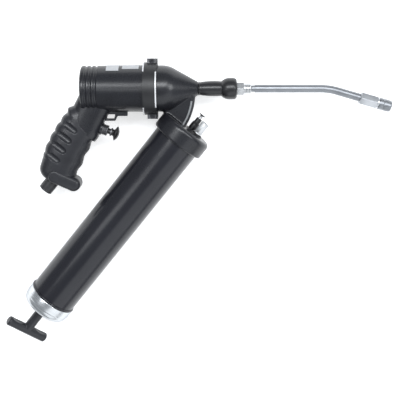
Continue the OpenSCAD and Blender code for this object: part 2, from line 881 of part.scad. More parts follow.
// Where the grease gallery from the pump breaks into the head cap's hollow
gallery_over = 2;
gallery_len = (cap_hollow_s + gallery_over + gallery_x * cos(barrel_angle)) / sin(barrel_angle);
outlet_shoulder = 1.8;
outlet_spigot_r = tip_r - outlet_shoulder;

function arc_cone() = [
  for (p = arc(cone_start_x, head_r - cone_round, cone_round, 90, 90 - cone_angle, 6)) [p[1], p[0]]
];

module head_web() {
  intersection() {
    gun() translate([web_centre_x, web_centre_y, 0]) turned([
      [0, -web_t / 2], [web_round - web_bevel, -web_t / 2], [web_round, web_bevel - web_t / 2],
      [web_round, web_t / 2 - web_bevel], [web_round - web_bevel, web_t / 2], [0, web_t / 2]
    ]);
    barrel_axis() translate([-web_t, -2 * cap_r, 0]) cube([2 * web_t, 4 * cap_r, cap_top + 1]);
    gun() translate([cone_start_x, -2 * cap_r, -web_t]) cube([tip_x - cone_start_x, 2 * cap_r, 2 * web_t]);
  }
}

module head_cap() {
  turned(concat(
    [[0, cap_top]],
    arc(cap_r - cap_round, cap_top + cap_round, cap_round, -90, 0, 6),
    [[cap_r, cap_end_s - head_cap_edge], [cap_r - head_cap_edge, cap_end_s], [0, cap_end_s]]
  ));
}

module plunger_packing() {
  color("#b08a4a") pump_axis() ring(plunger_r + run, packing_r, spigot_x + seat, packing_end_x - seat);
}

liner_port_share = 0.66;
module pump_liner() {
  color("#9a9da0") difference() {
    pump_axis() ring(plunger_r + run, liner_r, liner_start_x + seat, liner_end_x);
    gun() translate([gallery_x, 0, 0]) rotate([90, 0, 0]) cylinder(r = gallery_r * liner_port_share, h = 2 * liner_r);
  }
}

// Trigger and air valve
button_ring = bushing_len + trigger_travel + stop_gap;
button_rim = button_ring + 7;
button_dome = 3.5;
button_collar = 1.5;
button_collar_t = 1.6;
button_throat = 3.4;
button_lip = 1;
bushing_edge = 1;
valve_gap = 0.8;
module trigger_bushing() {
  color("#55575a") trigger_axis() difference() {
    union() {
      turned([
        [0, 0], [bushing_d / 2, 0], [bushing_d / 2, bushing_len - bushing_edge],
        [bushing_d / 2 - bushing_edge, bushing_len], [0, bushing_len]
      ]);
      rod(valve_bore_r - seat, bushing_root, eps);
    }
    rod(button_stem_d / 2 + run, bushing_root - eps, bushing_len + eps);
  }
}

module trigger_button() {
  stem_r = button_stem_d / 2;
  head_r = button_d / 2;
  ball_r = (pow(head_r, 2) + pow(button_dome, 2)) / (2 * button_dome);
  half = asin(head_r / ball_r);
  color("#18191b") trigger_axis() turned(concat(
    [
      [0, bushing_root + button_lip], [stem_r, bushing_root + button_lip], [stem_r, button_ring],
      [stem_r + button_collar, button_ring], [stem_r + button_collar, button_ring + button_collar_t],
      [stem_r + button_collar / 3, button_ring + button_throat / 2],
      [stem_r + button_collar / 3, button_ring + button_throat], [head_r - button_lip, button_rim - button_collar_t]
    ],
    arc(0, button_rim + button_dome - ball_r, ball_r, 90 - half, 90, 6)
  ));
}

module valve_stem() {
  color("#b59a55") trigger_axis() turned([
    [0, bushing_root - stop_gap - poppet_len], [valve_bore_r - valve_gap, bushing_root - stop_gap - poppet_len],
    [valve_bore_r - valve_gap, bushing_root - stop_gap], [button_stem_d / 2 - button_lip, bushing_root - stop_gap],
    [button_stem_d / 2 - button_lip, bushing_root + button_lip], [0, bushing_root + button_lip]
  ]);
}

valve_coil_gap = 2;
module valve_spring() {
  color("#8f9295") trigger_axis()
    coil(valve_bore_r - valve_coil_gap, fine_wire, valve_end, bushing_root - 2 * stop_gap - poppet_len, 6);
}

// Bleed valve: a stepped body with a sprung stem and a mushroom head
bleeder_low = 10;
bleeder_high = 15.7;
bleeder_step = 1.1;
bleeder_neck_r = bleeder_d / 2 - bleeder_step;
bleeder_stem_r = 1.5;
bleeder_pocket = 6;
bleeder_wall = 0.75;
bleeder_pocket_r = bleeder_neck_r - bleeder_wall;
bleeder_collar = 11.5;
bleeder_throat = 2.3;
bleeder_head = bleeder_high + bleeder_travel + bleeder_throat;
bleeder_over = 0.5;
bleeder_root = -cap_roof - bleeder_over;
bleeder_edge = 0.5;
bleeder_throat_r = 1.9;
bleeder_head_t = 1.4;
module bleeder_body() {
  color("#1c1d1f") on_cap(bleeder_forward, bleeder_side) translate([0, 0, boss_h]) difference() {
    union() {
      turned([
        [0, 0], [bleeder_d / 2, 0], [bleeder_d / 2, bleeder_low - bleeder_step], [bleeder_neck_r, bleeder_low],
        [bleeder_neck_r, bleeder_high - bleeder_edge], [bleeder_neck_r - bleeder_edge, bleeder_high],
        [0, bleeder_high]
      ]);
      rod(fitting_thread_r, bleeder_root, eps);
    }
    rod(bleeder_stem_r + run, bleeder_root - eps, bleeder_pocket + eps);
    rod(bleeder_pocket_r, bleeder_pocket, bleeder_high + eps);
  }
}

module bleeder_stem() {
  head_r = bleeder_head_d / 2;
  collar_r = bleeder_pocket_r - run;
  color("#8d9093") on_cap(bleeder_forward, bleeder_side) translate([0, 0, boss_h]) turned([
    [0, 0], [bleeder_stem_r, 0], [bleeder_stem_r, bleeder_collar],
    [collar_r, bleeder_collar], [collar_r, bleeder_high - bleeder_edge],
    [bleeder_throat_r, bleeder_high - bleeder_edge], [bleeder_throat_r, bleeder_head - bleeder_edge],
    [head_r - bleeder_head_t, bleeder_head],
    [head_r, bleeder_head + bleeder_edge], [head_r - bleeder_edge, bleeder_head + bleeder_head_t],
    [0, bleeder_head + bleeder_head_t]
  ]);
}

module bleeder_spring() {
  color("#8f9295") on_cap(bleeder_forward, bleeder_side) translate([0, 0, boss_h])
    coil((bleeder_stem_r + bleeder_pocket_r) / 2, fine_wire / 2, bleeder_pocket + seat, bleeder_collar - seat, 4);
}

// Filling nipple: a hexagon fitting on a washer
washer_t = 1.2;
washer_step = 1.6;
filler_edge = 1;
filler_lip = 0.4;
filler_lip_t = 1.8;
filler_bore_r = 1.8;
filler_root = 0.5 - cap_roof;
module filler_nipple() {
  base = boss_h + washer_t;
  corner = filler_hex / 2 / cos(30);
  color("#c9cbcd") on_cap(filler_forward, filler_side) difference() {
    union() {
      hexagon(filler_hex, base, base + filler_len, filler_edge);
      rod(fitting_thread_r, filler_root, base + eps);
      turned([
        [0, base], [corner + filler_lip, base], [corner + filler_lip, base + filler_lip_t / 2],
        [corner - filler_lip, base + filler_lip_t], [0, base + filler_lip_t]
      ]);
    }
    rod(filler_bore_r, -cap_roof, base + filler_len + eps);
  }
}

module filler_washer() {
  color("#141414") on_cap(filler_forward, filler_side)
    ring(fitting_thread_r + seat, filler_hex / 2 + washer_step, boss_h, boss_h + washer_t);
}

// Turned outlet with a waisted neck and a ball end, holding the check valve
outlet_points = 8;
outlet_crest = 0.6;
outlet_draw = 1.4;
ball_end_r = ball_end_d / 2;
ball_end_back = 8.8;
ball_end_x = outlet_end_x - ball_end_back;
seat_in = 8.6;
seat_x = tip_x + seat_in;
check_r = check_d / 2;
seat_bore_r = 2.1;
check_room = 1;
check_chamber_r = check_r + check_room;
check_x = seat_x + sqrt(pow(check_r, 2) - pow(seat_bore_r, 2)) + 2 * seat;
outlet_thread_len = 14;
thread_root_x = outlet_end_x - outlet_thread_len;
outlet_thread_r = 4.9;
outlet_thread_gap = 1;
module outlet_neck() {
  waist_len = ball_end_x - ball_end_r / 2 - tip_x;
  color("#1d1e20") pump_axis() difference() {
    union() {
      turned(concat(
        [[0, liner_end_x + seat], [outlet_spigot_r, liner_end_x + seat], [outlet_spigot_r, tip_x + seat]],
        [
          for (i = [0:outlet_points])
            let (u = i / outlet_points)
              [outlet_d / 2 - outlet_draw * pow((u - outlet_crest) / outlet_crest, 2), tip_x + seat + u * waist_len]
        ],
        [[0, tip_x + seat + waist_len]]
      ));
      intersection() {
        translate([0, 0, ball_end_x]) sphere(ball_end_r);
        rod(ball_end_r, tip_x, outlet_end_x);
      }
    }
    rod(seat_bore_r, liner_end_x, seat_x + eps);
    rod(check_chamber_r, seat_x, thread_root_x + eps);
    rod(outlet_thread_r, thread_root_x, outlet_end_x + eps);
  }
}

module check_ball() {
  color("#d0d2d4") pump_axis() translate([0, 0, check_x]) sphere(check_r);
}

check_coil_r = check_r - 2 * fine_wire;
module check_spring() {
  from = check_x + sqrt(pow(check_r, 2) - pow(check_coil_r, 2)) + stop_gap;
  color("#8f9295") pump_axis() coil(check_coil_r, fine_wire, from, thread_root_x + outlet_thread_gap - seat, 6);
}

// Hexagon fitting between the outlet and the pipe
collar_step = 1.1;
collar_r = adapter_hex / 2 - collar_step;
collar_edge = 1;
adapter_edge = 0.8;
pipe_neck_step = 0.8;
pipe_neck_r = pipe_r - pipe_neck_step;
pipe_socket = 6.5;
module pipe_adapter() {
  color("#c6c8ca") pump_axis() difference() {
    union() {
      rod(outlet_thread_r - seat, thread_root_x + outlet_thread_gap, adapter_x + eps);
      hexagon(adapter_hex, adapter_x + seat, collar_x, adapter_edge);
      turned([
        [0, collar_x - eps], [collar_r, collar_x - eps], [collar_r, collar_end_x - collar_edge],
        [collar_r - collar_edge, collar_end_x], [0, collar_end_x]
      ]);
    }
    rod(pipe_bore / 2, thread_root_x, collar_end_x + eps);
    rod(pipe_neck_r + seat, collar_end_x - pipe_socket, collar_end_x + eps);
  }
}

// Steel pipe, straight and then bent down towards the coupler
pipe_thread_len = 9;
pipe_thread_step = 0.5;
pipe_thread_r = pipe_r - pipe_thread_step;
module delivery_pipe() {
  bend_x = corner_x - bend_reach;
  color("#b4b8bc") difference() {
    union() {
      pump_axis() rod(pipe_neck_r, collar_end_x - pipe_socket + seat, pipe_x + eps);
      pump_axis() rod(pipe_r, pipe_x, bend_x);
      pipe_bend_part(pipe_r);
      coupler_axis() rod(pipe_r, bend_reach - pipe_leg, 0);
      coupler_axis() rod(pipe_thread_r, -eps, pipe_thread_len);
    }
    pump_axis() rod(pipe_bore / 2, collar_end_x - pipe_socket - eps, bend_x);
    pipe_bend_part(pipe_bore / 2);
    coupler_axis() rod(pipe_bore / 2, bend_reach - pipe_leg, pipe_thread_len + eps);
  }
}

// The bend is drawn a touch thinner than the straight lengths and runs a little way into them
bend_thin = 0.04;
bend_lap = 0.4;
module pipe_bend_part(r) {
  gun() translate([corner_x - bend_reach, -bend_r, 0]) rotate([0, 0, 90 - pipe_bend - bend_lap])
    rotate_extrude(angle = pipe_bend + 2 * bend_lap) translate([bend_r, 0]) circle(r - bend_thin);
}

// Grease coupler: hexagon body, nose, three sprung jaws and a seal
nose_x = coupler_hex_len + coupler_ring_len;
nose_end = nose_x + coupler_nose_len;
nose_thread_len = 6;
nose_wall = 1.7;
nose_thread_r = coupler_r - nose_wall;
nose_taper = 0.5;
hexagon_edge = 1.6;
ring_step = 0.5;
mouth_len = 4;
jaw_travel = 1.2;
jaw_end = nose_end - mouth_len - stop_gap;
jaw_rear = nose_x + nose_thread_len + jaw_travel + stop_gap;
jaw_r = nose_thread_r - stop_gap;
jaw_slot = 1;
jaw_lip = 0.6;
seal_pocket_r = 3.5;
seal_floor = 0.4;
seal_pocket = nose_x + seal_floor;
seal_spring_len = 3.4;
seal_rear = seal_pocket + seal_spring_len;
seal_bore_r = 1.4;
module coupler_body() {
  color("#c6c8ca") coupler_axis() difference() {
    union() {
      hexagon(coupler_hex, 0, coupler_hex_len, hexagon_edge);
      rod(coupler_r - ring_step, coupler_hex_len - eps, nose_x);
      rod(nose_thread_r - seat, nose_x - eps, nose_x + nose_thread_len);
    }
    rod(pipe_thread_r + seat, -eps, pipe_thread_len + seat);
    rod(pipe_bore / 2, 0, seal_pocket + eps);
    rod(seal_pocket_r, seal_pocket, nose_x + nose_thread_len + eps);
  }
}

module coupler_nose() {
  color("#d2d4d6") coupler_axis() difference() {
    turned([
      [0, nose_x + seat], [coupler_r, nose_x + seat], [coupler_r, nose_end - mouth_len],
      [coupler_r - nose_taper, nose_end - nose_edge + nose_taper], [coupler_r - nose_edge, nose_end], [0, nose_end]
    ]);
    rod(nose_thread_r, nose_x, nose_end - mouth_len);
    rod(mouth_d / 2, nose_x, nose_end + eps);
  }
}

module coupler_jaws() {
  color("#77797c") coupler_axis() difference() {
    ring(mouth_d / 2 - jaw_lip, jaw_r, jaw_rear, jaw_end);
    for (i = [0:2]) rotate([0, 0, 120 * i]) translate([0, -jaw_slot / 2, jaw_rear - eps])
      cube([2 * jaw_r, jaw_slot, coupler_nose_len]);
  }
}

module coupler_seal() {
  color("#161616") coupler_axis() ring(seal_bore_r, seal_pocket_r - run, seal_rear, jaw_rear);
}

module coupler_spring() {
  color("#8f9295") coupler_axis() coil(seal_pocket_r - 2 * fine_wire, fine_wire / 2, seal_pocket + seat, seal_rear - seat, 4);
}

// Steel tube screwed into the head cap, with a rolled bead at its lower end
bead_w = 2.6;
module barrel() {
  color("#1a1b1d") barrel_axis() turned(concat(
    [[tube_r, barrel_top_s], [barrel_r, barrel_top_s], [barrel_r, barrel_end_s - bead_w]],
    arc(bead_r - bead_w / 2, barrel_end_s - bead_w / 2, bead_w / 2, -80, 90, 6),
    [[tube_r, barrel_end_s]]
  ));
}

module barrel_gasket() {
  color("#2a2a2a") barrel_axis() ring(tube_r - gasket_w, barrel_r, cap_hollow_s, barrel_top_s);
}

// Pressed cap that closes the barrel, with a collar that guides the rod
guide_wall = 4;
guide_r = rod_r + guide_wall;
guide_len = 6;
skirt_len = 10;
skirt_wall = 1.6;
module end_cap() {
  outer = end_cap_r;
  inner = outer - end_cap_wall;
  start = barrel_end_s + seat;
  roof = end_cap_end_s - end_cap_wall;
  skirt_r = tube_r - seat;
  shoulder_s = end_cap_end_s - end_cap_round;
  color("#d8dadc") barrel_axis() difference() {
    turned(concat(
      [[skirt_r, start - skirt_len], [skirt_r, start], [outer, start]],
      arc(outer - end_cap_round, shoulder_s, end_cap_round, 0, 90, 8),
      [
        [rod_r + run, end_cap_end_s], [rod_r + run, roof - guide_len],
        [guide_r, roof - guide_len], [guide_r, roof]
      ],
      arc(outer - end_cap_round, shoulder_s, end_cap_round - end_cap_wall, 90, 0, 8),
      [
        [inner, start + end_cap_wall], [skirt_r - skirt_wall, start + end_cap_wall],
        [skirt_r - skirt_wall, start - skirt_len]
      ]
    ));
  }
}

// Follower: a plate with a rubber cup, pushed up the barrel by a long spring
hub_wall = 4;
hub_r = rod_r + hub_wall;
cup_h = 10;
cup_step = 9;
cup_lip = 0.5;
washer_s = 2;
plate_s = follower_s + cup_h;
plate_t = 3;
plate_gap = 1.5;
module follower() {
  disc_r = tube_r - cup_step;
  plate_r = tube_r - plate_gap;
  collar_s = plate_s + plate_t + hub_wall;
  color("#a3a6a9") barrel_axis() difference() {
    turned([
      [0, follower_s], [disc_r, follower_s], [disc_r, follower_s + washer_s], [hub_r, follower_s + washer_s],
      [hub_r, plate_s], [plate_r, plate_s], [plate_r, plate_s + plate_t], [hub_r, plate_s + plate_t],
      [hub_r, collar_s], [0, collar_s]
    ]);
    rod(rod_r + run, follower_s - eps, collar_s + eps);
  }
}

module follower_seal() {
  top = follower_s + washer_s + seat;
  color("#151515") barrel_axis() turned([
    [hub_r + seat, top], [tube_r - cup_step, top], [tube_r - cup_step / 3, follower_s + cup_lip],
    [tube_r - run, follower_s + cup_lip], [tube_r - run, plate_s - seat], [hub_r + seat, plate_s - seat]
  ]);
}

spring_wire = 1.3;
spring_gap = 8;
spring_turns = 16;
module follower_spring() {
  color("#8f9295") barrel_axis()
    coil(
      tube_r - spring_gap, spring_wire,
      plate_s + plate_t + stop_gap, end_cap_end_s - end_cap_wall - stop_gap, spring_turns
    );
}

// Rod with a head above the follower; its other end is fixed in the handle's stem
rod_head_t = 1.5;
rod_head_step = 2;
stem_s = end_cap_end_s + stop_gap + seat;
socket_len = handle_out - bar_d;
module follower_rod() {
  head_s = follower_s - stop_gap - rod_head_t;
  color("#b4b8bc") barrel_axis() union() {
    rod(rod_r + rod_head_step, head_s, head_s + rod_head_t);
    rod(rod_r, head_s, stem_s + socket_len - seat);
  }
}

// Moulded T-handle with a scooped hollow on each side of its stem
scoop_r = 20;
scoop_depth = 1.7;
scoop_at = 17;
module t_handle() {
  bar_r = bar_d / 2;
  color("#202124") barrel_axis() rotate([0, 0, -bar_turn]) difference() {
    union() {
      rod(stem_d / 2, stem_s, bar_s);
      difference() {
        translate([0, 0, bar_s]) rotate([90, 0, 0]) turned([
          [0, -bar_len / 2], [bar_r - bar_edge, -bar_len / 2], [bar_r, bar_edge - bar_len / 2],
          [bar_r, bar_len / 2 - bar_edge], [bar_r - bar_edge, bar_len / 2], [0, bar_len / 2]
        ]);
        for (side = [-1, 1])
          translate([0, side * scoop_at, bar_s - bar_r - scoop_r + scoop_depth]) sphere(scoop_r);
      }
    }
    rod(rod_r + seat / 2, stem_s - eps, stem_s + socket_len);
  }
}

motor_housing();
grip_sleeve();
grip_base();
air_inlet();
clamp_half_near();
clamp_half_far();
clamp_screws();
head_gasket();
air_piston();
piston_seal();
plunger();
return_spring();
pump_head();
plunger_packing();
pump_liner();
trigger_bushing();
trigger_button();
valve_stem();
valve_spring();
bleeder_body();
bleeder_stem();
bleeder_spring();
filler_nipple();
filler_washer();
outlet_neck();
check_ball();
check_spring();
pipe_adapter();
delivery_pipe();
coupler_body();
coupler_nose();
coupler_jaws();
coupler_seal();
coupler_spring();
barrel();
barrel_gasket();
end_cap();
follower();
follower_seal();
follower_spring();
follower_rod();
t_handle();
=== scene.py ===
import json
import math
import bmesh
import bpy
from mathutils import Matrix, Vector


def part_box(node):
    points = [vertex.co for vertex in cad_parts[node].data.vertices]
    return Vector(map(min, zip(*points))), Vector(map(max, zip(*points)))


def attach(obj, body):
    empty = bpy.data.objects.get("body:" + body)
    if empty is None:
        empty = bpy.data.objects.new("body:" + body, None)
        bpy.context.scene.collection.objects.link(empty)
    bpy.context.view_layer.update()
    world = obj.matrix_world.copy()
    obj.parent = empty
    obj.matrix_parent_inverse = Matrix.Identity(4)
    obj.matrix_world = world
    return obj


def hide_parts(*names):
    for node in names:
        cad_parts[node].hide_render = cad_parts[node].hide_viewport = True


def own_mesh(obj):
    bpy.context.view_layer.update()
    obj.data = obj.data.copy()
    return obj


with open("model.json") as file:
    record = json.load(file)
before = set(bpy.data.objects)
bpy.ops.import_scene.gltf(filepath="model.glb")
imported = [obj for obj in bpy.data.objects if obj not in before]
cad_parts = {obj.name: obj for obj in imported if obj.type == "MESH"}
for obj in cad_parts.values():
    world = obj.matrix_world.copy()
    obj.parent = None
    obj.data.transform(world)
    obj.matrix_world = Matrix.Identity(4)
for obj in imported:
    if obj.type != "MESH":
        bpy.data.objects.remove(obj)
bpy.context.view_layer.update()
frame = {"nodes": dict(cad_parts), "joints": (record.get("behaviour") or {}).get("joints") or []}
nodes = frame["nodes"]

# Pump head: one aluminium casting with the pump's cone, the web and the barrel's head cap.
# The mould leaves its edges soft, and it is coated satin black over a fine cast grain.


def material(name, color, rough, metal=0.0):
    """A new material with a Principled shader, and its node tree."""
    made = bpy.data.materials.new(name)
    made.use_nodes = True
    shader = made.node_tree.nodes["Principled BSDF"]
    shader.inputs["Base Color"].default_value = (*color, 1)
    shader.inputs["Roughness"].default_value = rough
    shader.inputs["Metallic"].default_value = metal
    return made, made.node_tree, shader


def join(tree, source, output, target, entry):
    """Links a node's output to another node's input."""
    tree.links.new(source.outputs[output], target.inputs[entry])


def grain_group():
    """Fine grain and slow cloudy patches, for cast, coated and moulded surfaces."""
    group = bpy.data.node_groups.new("surface_grain", "ShaderNodeTree")
    face = group.interface
    face.new_socket("Grain Scale", in_out="INPUT", socket_type="NodeSocketFloat")
    face.new_socket("Patch Scale", in_out="INPUT", socket_type="NodeSocketFloat")
    face.new_socket("Grain", in_out="OUTPUT", socket_type="NodeSocketFloat")
    face.new_socket("Patch", in_out="OUTPUT", socket_type="NodeSocketFloat")
    start = group.nodes.new("NodeGroupInput")
    end = group.nodes.new("NodeGroupOutput")
    place = group.nodes.new("ShaderNodeTexCoord")
    for scale, output, detail in (("Grain Scale", "Grain", 3.0), ("Patch Scale", "Patch", 4.0)):
        noise = group.nodes.new("ShaderNodeTexNoise")
        noise.inputs["Detail"].default_value = detail
        noise.inputs["Roughness"].default_value = 0.6
        join(group, place, "Object", noise, "Vector")
        join(group, start, scale, noise, "Scale")
        join(group, noise, "Fac", end, output)
    return group


surface_grain = grain_group()


def between(tree, source, output, low, high):
    """Spreads a 0 to 1 value over low to high."""
    spread = tree.nodes.new("ShaderNodeMapRange")
    spread.inputs["From Min"].default_value = 0.3
    spread.inputs["From Max"].default_value = 0.7
    spread.inputs["To Min"].default_value = low
    spread.inputs["To Max"].default_value = high
    join(tree, source, output, spread, "Value")
    return spread


def tint(tree, source, output, dark, light):
    """Spreads a 0 to 1 value over two colours."""
    ramp = tree.nodes.new("ShaderNodeValToRGB")
    ramp.color_ramp.elements[0].position = 0.3
    ramp.color_ramp.elements[0].color = (*dark, 1)
    ramp.color_ramp.elements[1].position = 0.7
    ramp.color_ramp.elements[1].color = (*light, 1)
    join(tree, source, output, ramp, "Fac")
    return ramp


def grained(name, dark, light, smooth, rough, grain, patch, height, metal=0.0):
    """A coated or moulded surface: cloudy colour, uneven gloss and a fine raised grain."""
    made, tree, shader = material(name, light, rough, metal)
    cloud = tree.nodes.new("ShaderNodeGroup")
    cloud.node_tree = surface_grain
    cloud.inputs["Grain Scale"].default_value = grain
    cloud.inputs["Patch Scale"].default_value = patch
    join(tree, tint(tree, cloud, "Patch", dark, light), "Color", shader, "Base Color")
    join(tree, between(tree, cloud, "Grain", smooth, rough), "Result", shader, "Roughness")
    bump = tree.nodes.new("ShaderNodeBump")
    bump.inputs["Strength"].default_value = 0.5
    bump.inputs["Distance"].default_value = height
    join(tree, cloud, "Grain", bump, "Height")
    join(tree, bump, "Normal", shader, "Normal")
    return made


def added(name, data):
    """A new object in the scene."""
    made = bpy.data.objects.new(name, data)
    bpy.context.scene.collection.objects.link(made)
    return made


def finished(name, shape, body, slot, replaced, *finishes):
    """Makes a mesh an object that rides on a body and stands for CAD nodes."""
    data = bpy.data.meshes.new(name)
    shape.to_mesh(data)
    shape.free()
    for finish in finishes:
        data.materials.append(finish)
    data.shade_smooth()
    data.set_sharp_from_angle(angle=math.radians(38))
    piece = added(name, data)
    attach(piece, body)
    if replaced:
        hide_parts(*replaced)
    return piece


def moulded(name, node, body, slot, finish, voxel, rounds, wider=1.0):
    """A CAD node's form with the soft edges and small fillets that a mould leaves."""
    shape = bmesh.new()
    shape.from_mesh(nodes[node].data)
    bmesh.ops.remove_doubles(shape, verts=shape.verts, dist=1e-6)
    low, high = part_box(node)
    for vert in shape.verts:
        vert.co.z += (wider - 1) * (vert.co.z - (low.z + high.z) / 2)
    piece = finished(name, shape, body, slot, [node], finish)
    skin = piece.modifiers.new("mould", "REMESH")
    skin.mode = "VOXEL"
    skin.voxel_size = voxel
    skin.use_smooth_shade = True
    soft = piece.modifiers.new("soften", "SMOOTH")
    soft.factor = 0.5
    soft.iterations = rounds
    return piece


cast_black = grained(
    "cast_black", (0.0105, 0.0109, 0.014), (0.0165, 0.0171, 0.0215), 0.25, 0.33, 1400, 40, 0.00004
)
moulded("pump_head_casting", "pump_head", "gun", "cast_black", cast_black, voxel=0.00085, rounds=2)

# Pump inside the head: a hardened steel liner and the packing rings round the plunger.
# Both are pushed in from the joint face before the cylinder is clamped on.


def lines_group():
    """Fine rings left by turning, along the X of the mapped coordinates."""
    group = bpy.data.node_groups.new("turned_lines", "ShaderNodeTree")
    face = group.interface
    face.new_socket("Angle", in_out="INPUT", socket_type="NodeSocketVector")
    face.new_socket("Scale", in_out="INPUT", socket_type="NodeSocketFloat")
    face.new_socket("Lines", in_out="OUTPUT", socket_type="NodeSocketFloat")
    face.new_socket("Cloud", in_out="OUTPUT", socket_type="NodeSocketFloat")
    start = group.nodes.new("NodeGroupInput")
    end = group.nodes.new("NodeGroupOutput")
    place = group.nodes.new("ShaderNodeTexCoord")
    turn = group.nodes.new("ShaderNodeMapping")
    join(group, place, "Object", turn, "Vector")
    join(group, start, "Angle", turn, "Rotation")
    stretch = group.nodes.new("ShaderNodeVectorMath")
    stretch.operation = "MULTIPLY"
    stretch.inputs[1].default_value = (1, 0.01, 0.01)
    join(group, turn, "Vector", stretch, 0)
    lines = group.nodes.new("ShaderNodeTexNoise")
    lines.inputs["Detail"].default_value = 2
    join(group, stretch, "Vector", lines, "Vector")
    join(group, start, "Scale", lines, "Scale")
    join(group, lines, "Fac", end, "Lines")
    cloud = group.nodes.new("ShaderNodeTexNoise")
    cloud.inputs["Scale"].default_value = 90
    cloud.inputs["Detail"].default_value = 4
    join(group, place, "Object", cloud, "Vector")
    join(group, cloud, "Fac", end, "Cloud")
    return group


turned_lines = lines_group()


def turned(name, dark, light, smooth, rough, degrees=0.0, scale=2500, height=0.00001):
    """Turned or drawn metal: fine rings round its axis and a slightly cloudy plating."""
    made, tree, shader = material(name, light, rough, 1.0)
    marks = tree.nodes.new("ShaderNodeGroup")
    marks.node_tree = turned_lines
    marks.inputs["Angle"].default_value = (0, 0, math.radians(degrees))
    marks.inputs["Scale"].default_value = scale
    join(tree, tint(tree, marks, "Cloud", dark, light), "Color", shader, "Base Color")
    join(tree, between(tree, marks, "Lines", smooth, rough), "Result", shader, "Roughness")
    bump = tree.nodes.new("ShaderNodeBump")
    bump.inputs["Strength"].default_value = 0.25
    bump.inputs["Distance"].default_value = height
    join(tree, marks, "Lines", bump, "Height")
    join(tree, bump, "Normal", shader, "Normal")
    return made


def dress(finish, *names):
    """Gives CAD nodes their finish."""
    for name in names:
        for slot in nodes[name].material_slots:
            slot.material = finish


plain_steel = turned("plain_steel", (0.42, 0.42, 0.43), (0.55, 0.55, 0.56), 0.28, 0.4)
packing = grained("packing_rings", (0.4, 0.28, 0.13), (0.52, 0.38, 0.2), 0.5, 0.6, 700, 60, 0.00005)
dress(plain_steel, "pump_liner")
dress(packing, "plunger_packing")

# Air motor: a machined aluminium piston with a rubber ring, pressed on the hardened plunger.
# A coil spring round the plunger pushes it back.
piston_metal = turned("piston_metal", (0.52, 0.53, 0.54), (0.64, 0.65, 0.66), 0.25, 0.36)
plated_steel = turned("plated_steel", (0.68, 0.69, 0.7), (0.8, 0.81, 0.82), 0.3, 0.4)
spring_steel = turned("spring_steel", (0.36, 0.36, 0.37), (0.48, 0.48, 0.49), 0.3, 0.42)
seal_rubber = grained(
    "seal_rubber", (0.012, 0.012, 0.012), (0.02, 0.02, 0.02), 0.5, 0.64, 1200, 70, 0.00004
)


def middle(node):
    """The middle of a CAD node's box."""
    low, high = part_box(node)
    return (low + high) / 2


def joint_called(name):
    """A joint's entry in the frame."""
    return next(joint for joint in frame["joints"] if joint["name"] == name)


def coil(name, node):
    """A spring: a merged copy of a CAD node's coil, on its own mesh."""
    shape = bmesh.new()
    shape.from_mesh(nodes[node].data)
    bmesh.ops.remove_doubles(shape, verts=shape.verts, dist=1e-7)
    piece = finished(name, shape, "gun", "spring_steel", [node], spring_steel)
    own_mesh(piece)


dress(piston_metal, "air_piston")
dress(plated_steel, "plunger")
dress(seal_rubber, "piston_seal", "head_gasket")
coil("piston_spring", "return_spring")

# Air cylinder: an aluminium casting with a closed rear end, three grooves round it, the grip's neck
# and a small hanging eye. It has the pump head's coating. Shapes are drawn in millimetres about
# their own axis, as measured from the point where the pump's axis and the barrel's axis cross.
barrel_way = Vector(joint_called("follower_slide")["axis"])
barrel_mid = middle("barrel_gasket")
crossing = barrel_mid - barrel_way * (barrel_mid.y - middle("plunger").y) / barrel_way.y
barrel_angle = math.degrees(math.atan2(barrel_way.y, barrel_way.x))


def axis_place(x, y, degrees):
    """From millimetres along an axis, whose Z points at an angle in the gun's side plane, to metres."""
    turn = Matrix.Rotation(math.radians(degrees), 4, "Z") @ Matrix.Rotation(math.radians(90), 4, "Y")
    return Matrix.Translation(crossing + Vector((x, y, 0)) / 1000) @ turn @ Matrix.Scale(0.001, 4)


def arc(across, along, radius, start, stop, steps):
    """Points of an arc in an outline."""
    angles = [math.radians(start + (stop - start) * step / steps) for step in range(steps + 1)]
    return [(across + radius * math.cos(angle), along + radius * math.sin(angle)) for angle in angles]


def spun(shape, outline, steps=96):
    """Turns an outline of (radius, height) points about Z."""
    points = [shape.verts.new((radius, 0, height)) for radius, height in outline]
    lines = [shape.edges.new(pair) for pair in zip(points, points[1:])]
    bmesh.ops.spin(
        shape, geom=points + lines, cent=(0, 0, 0), axis=(0, 0, 1), dvec=(0, 0, 0),
        angle=2 * math.pi, steps=steps, use_merge=True,
    )
    bmesh.ops.remove_doubles(shape, verts=shape.verts, dist=1e-4)
    bmesh.ops.recalc_face_normals(shape, faces=shape.faces)


def softened(shape, width):
    """Rounds the sharp edges of a mesh."""
    inner = [edge for edge in shape.edges if len(edge.link_faces) == 2]
    sharp = [edge for edge in inner if edge.calc_face_angle() > math.radians(28)]
    bmesh.ops.bevel(
        shape, geom=sharp, offset=width, offset_type="OFFSET", segments=2, profile=0.5,
        affect="EDGES", clamp_overlap=True, material=-1,
    )


def placed(shape, matrix):
    """Moves a whole mesh."""
    bmesh.ops.transform(shape, matrix=matrix, verts=shape.verts)


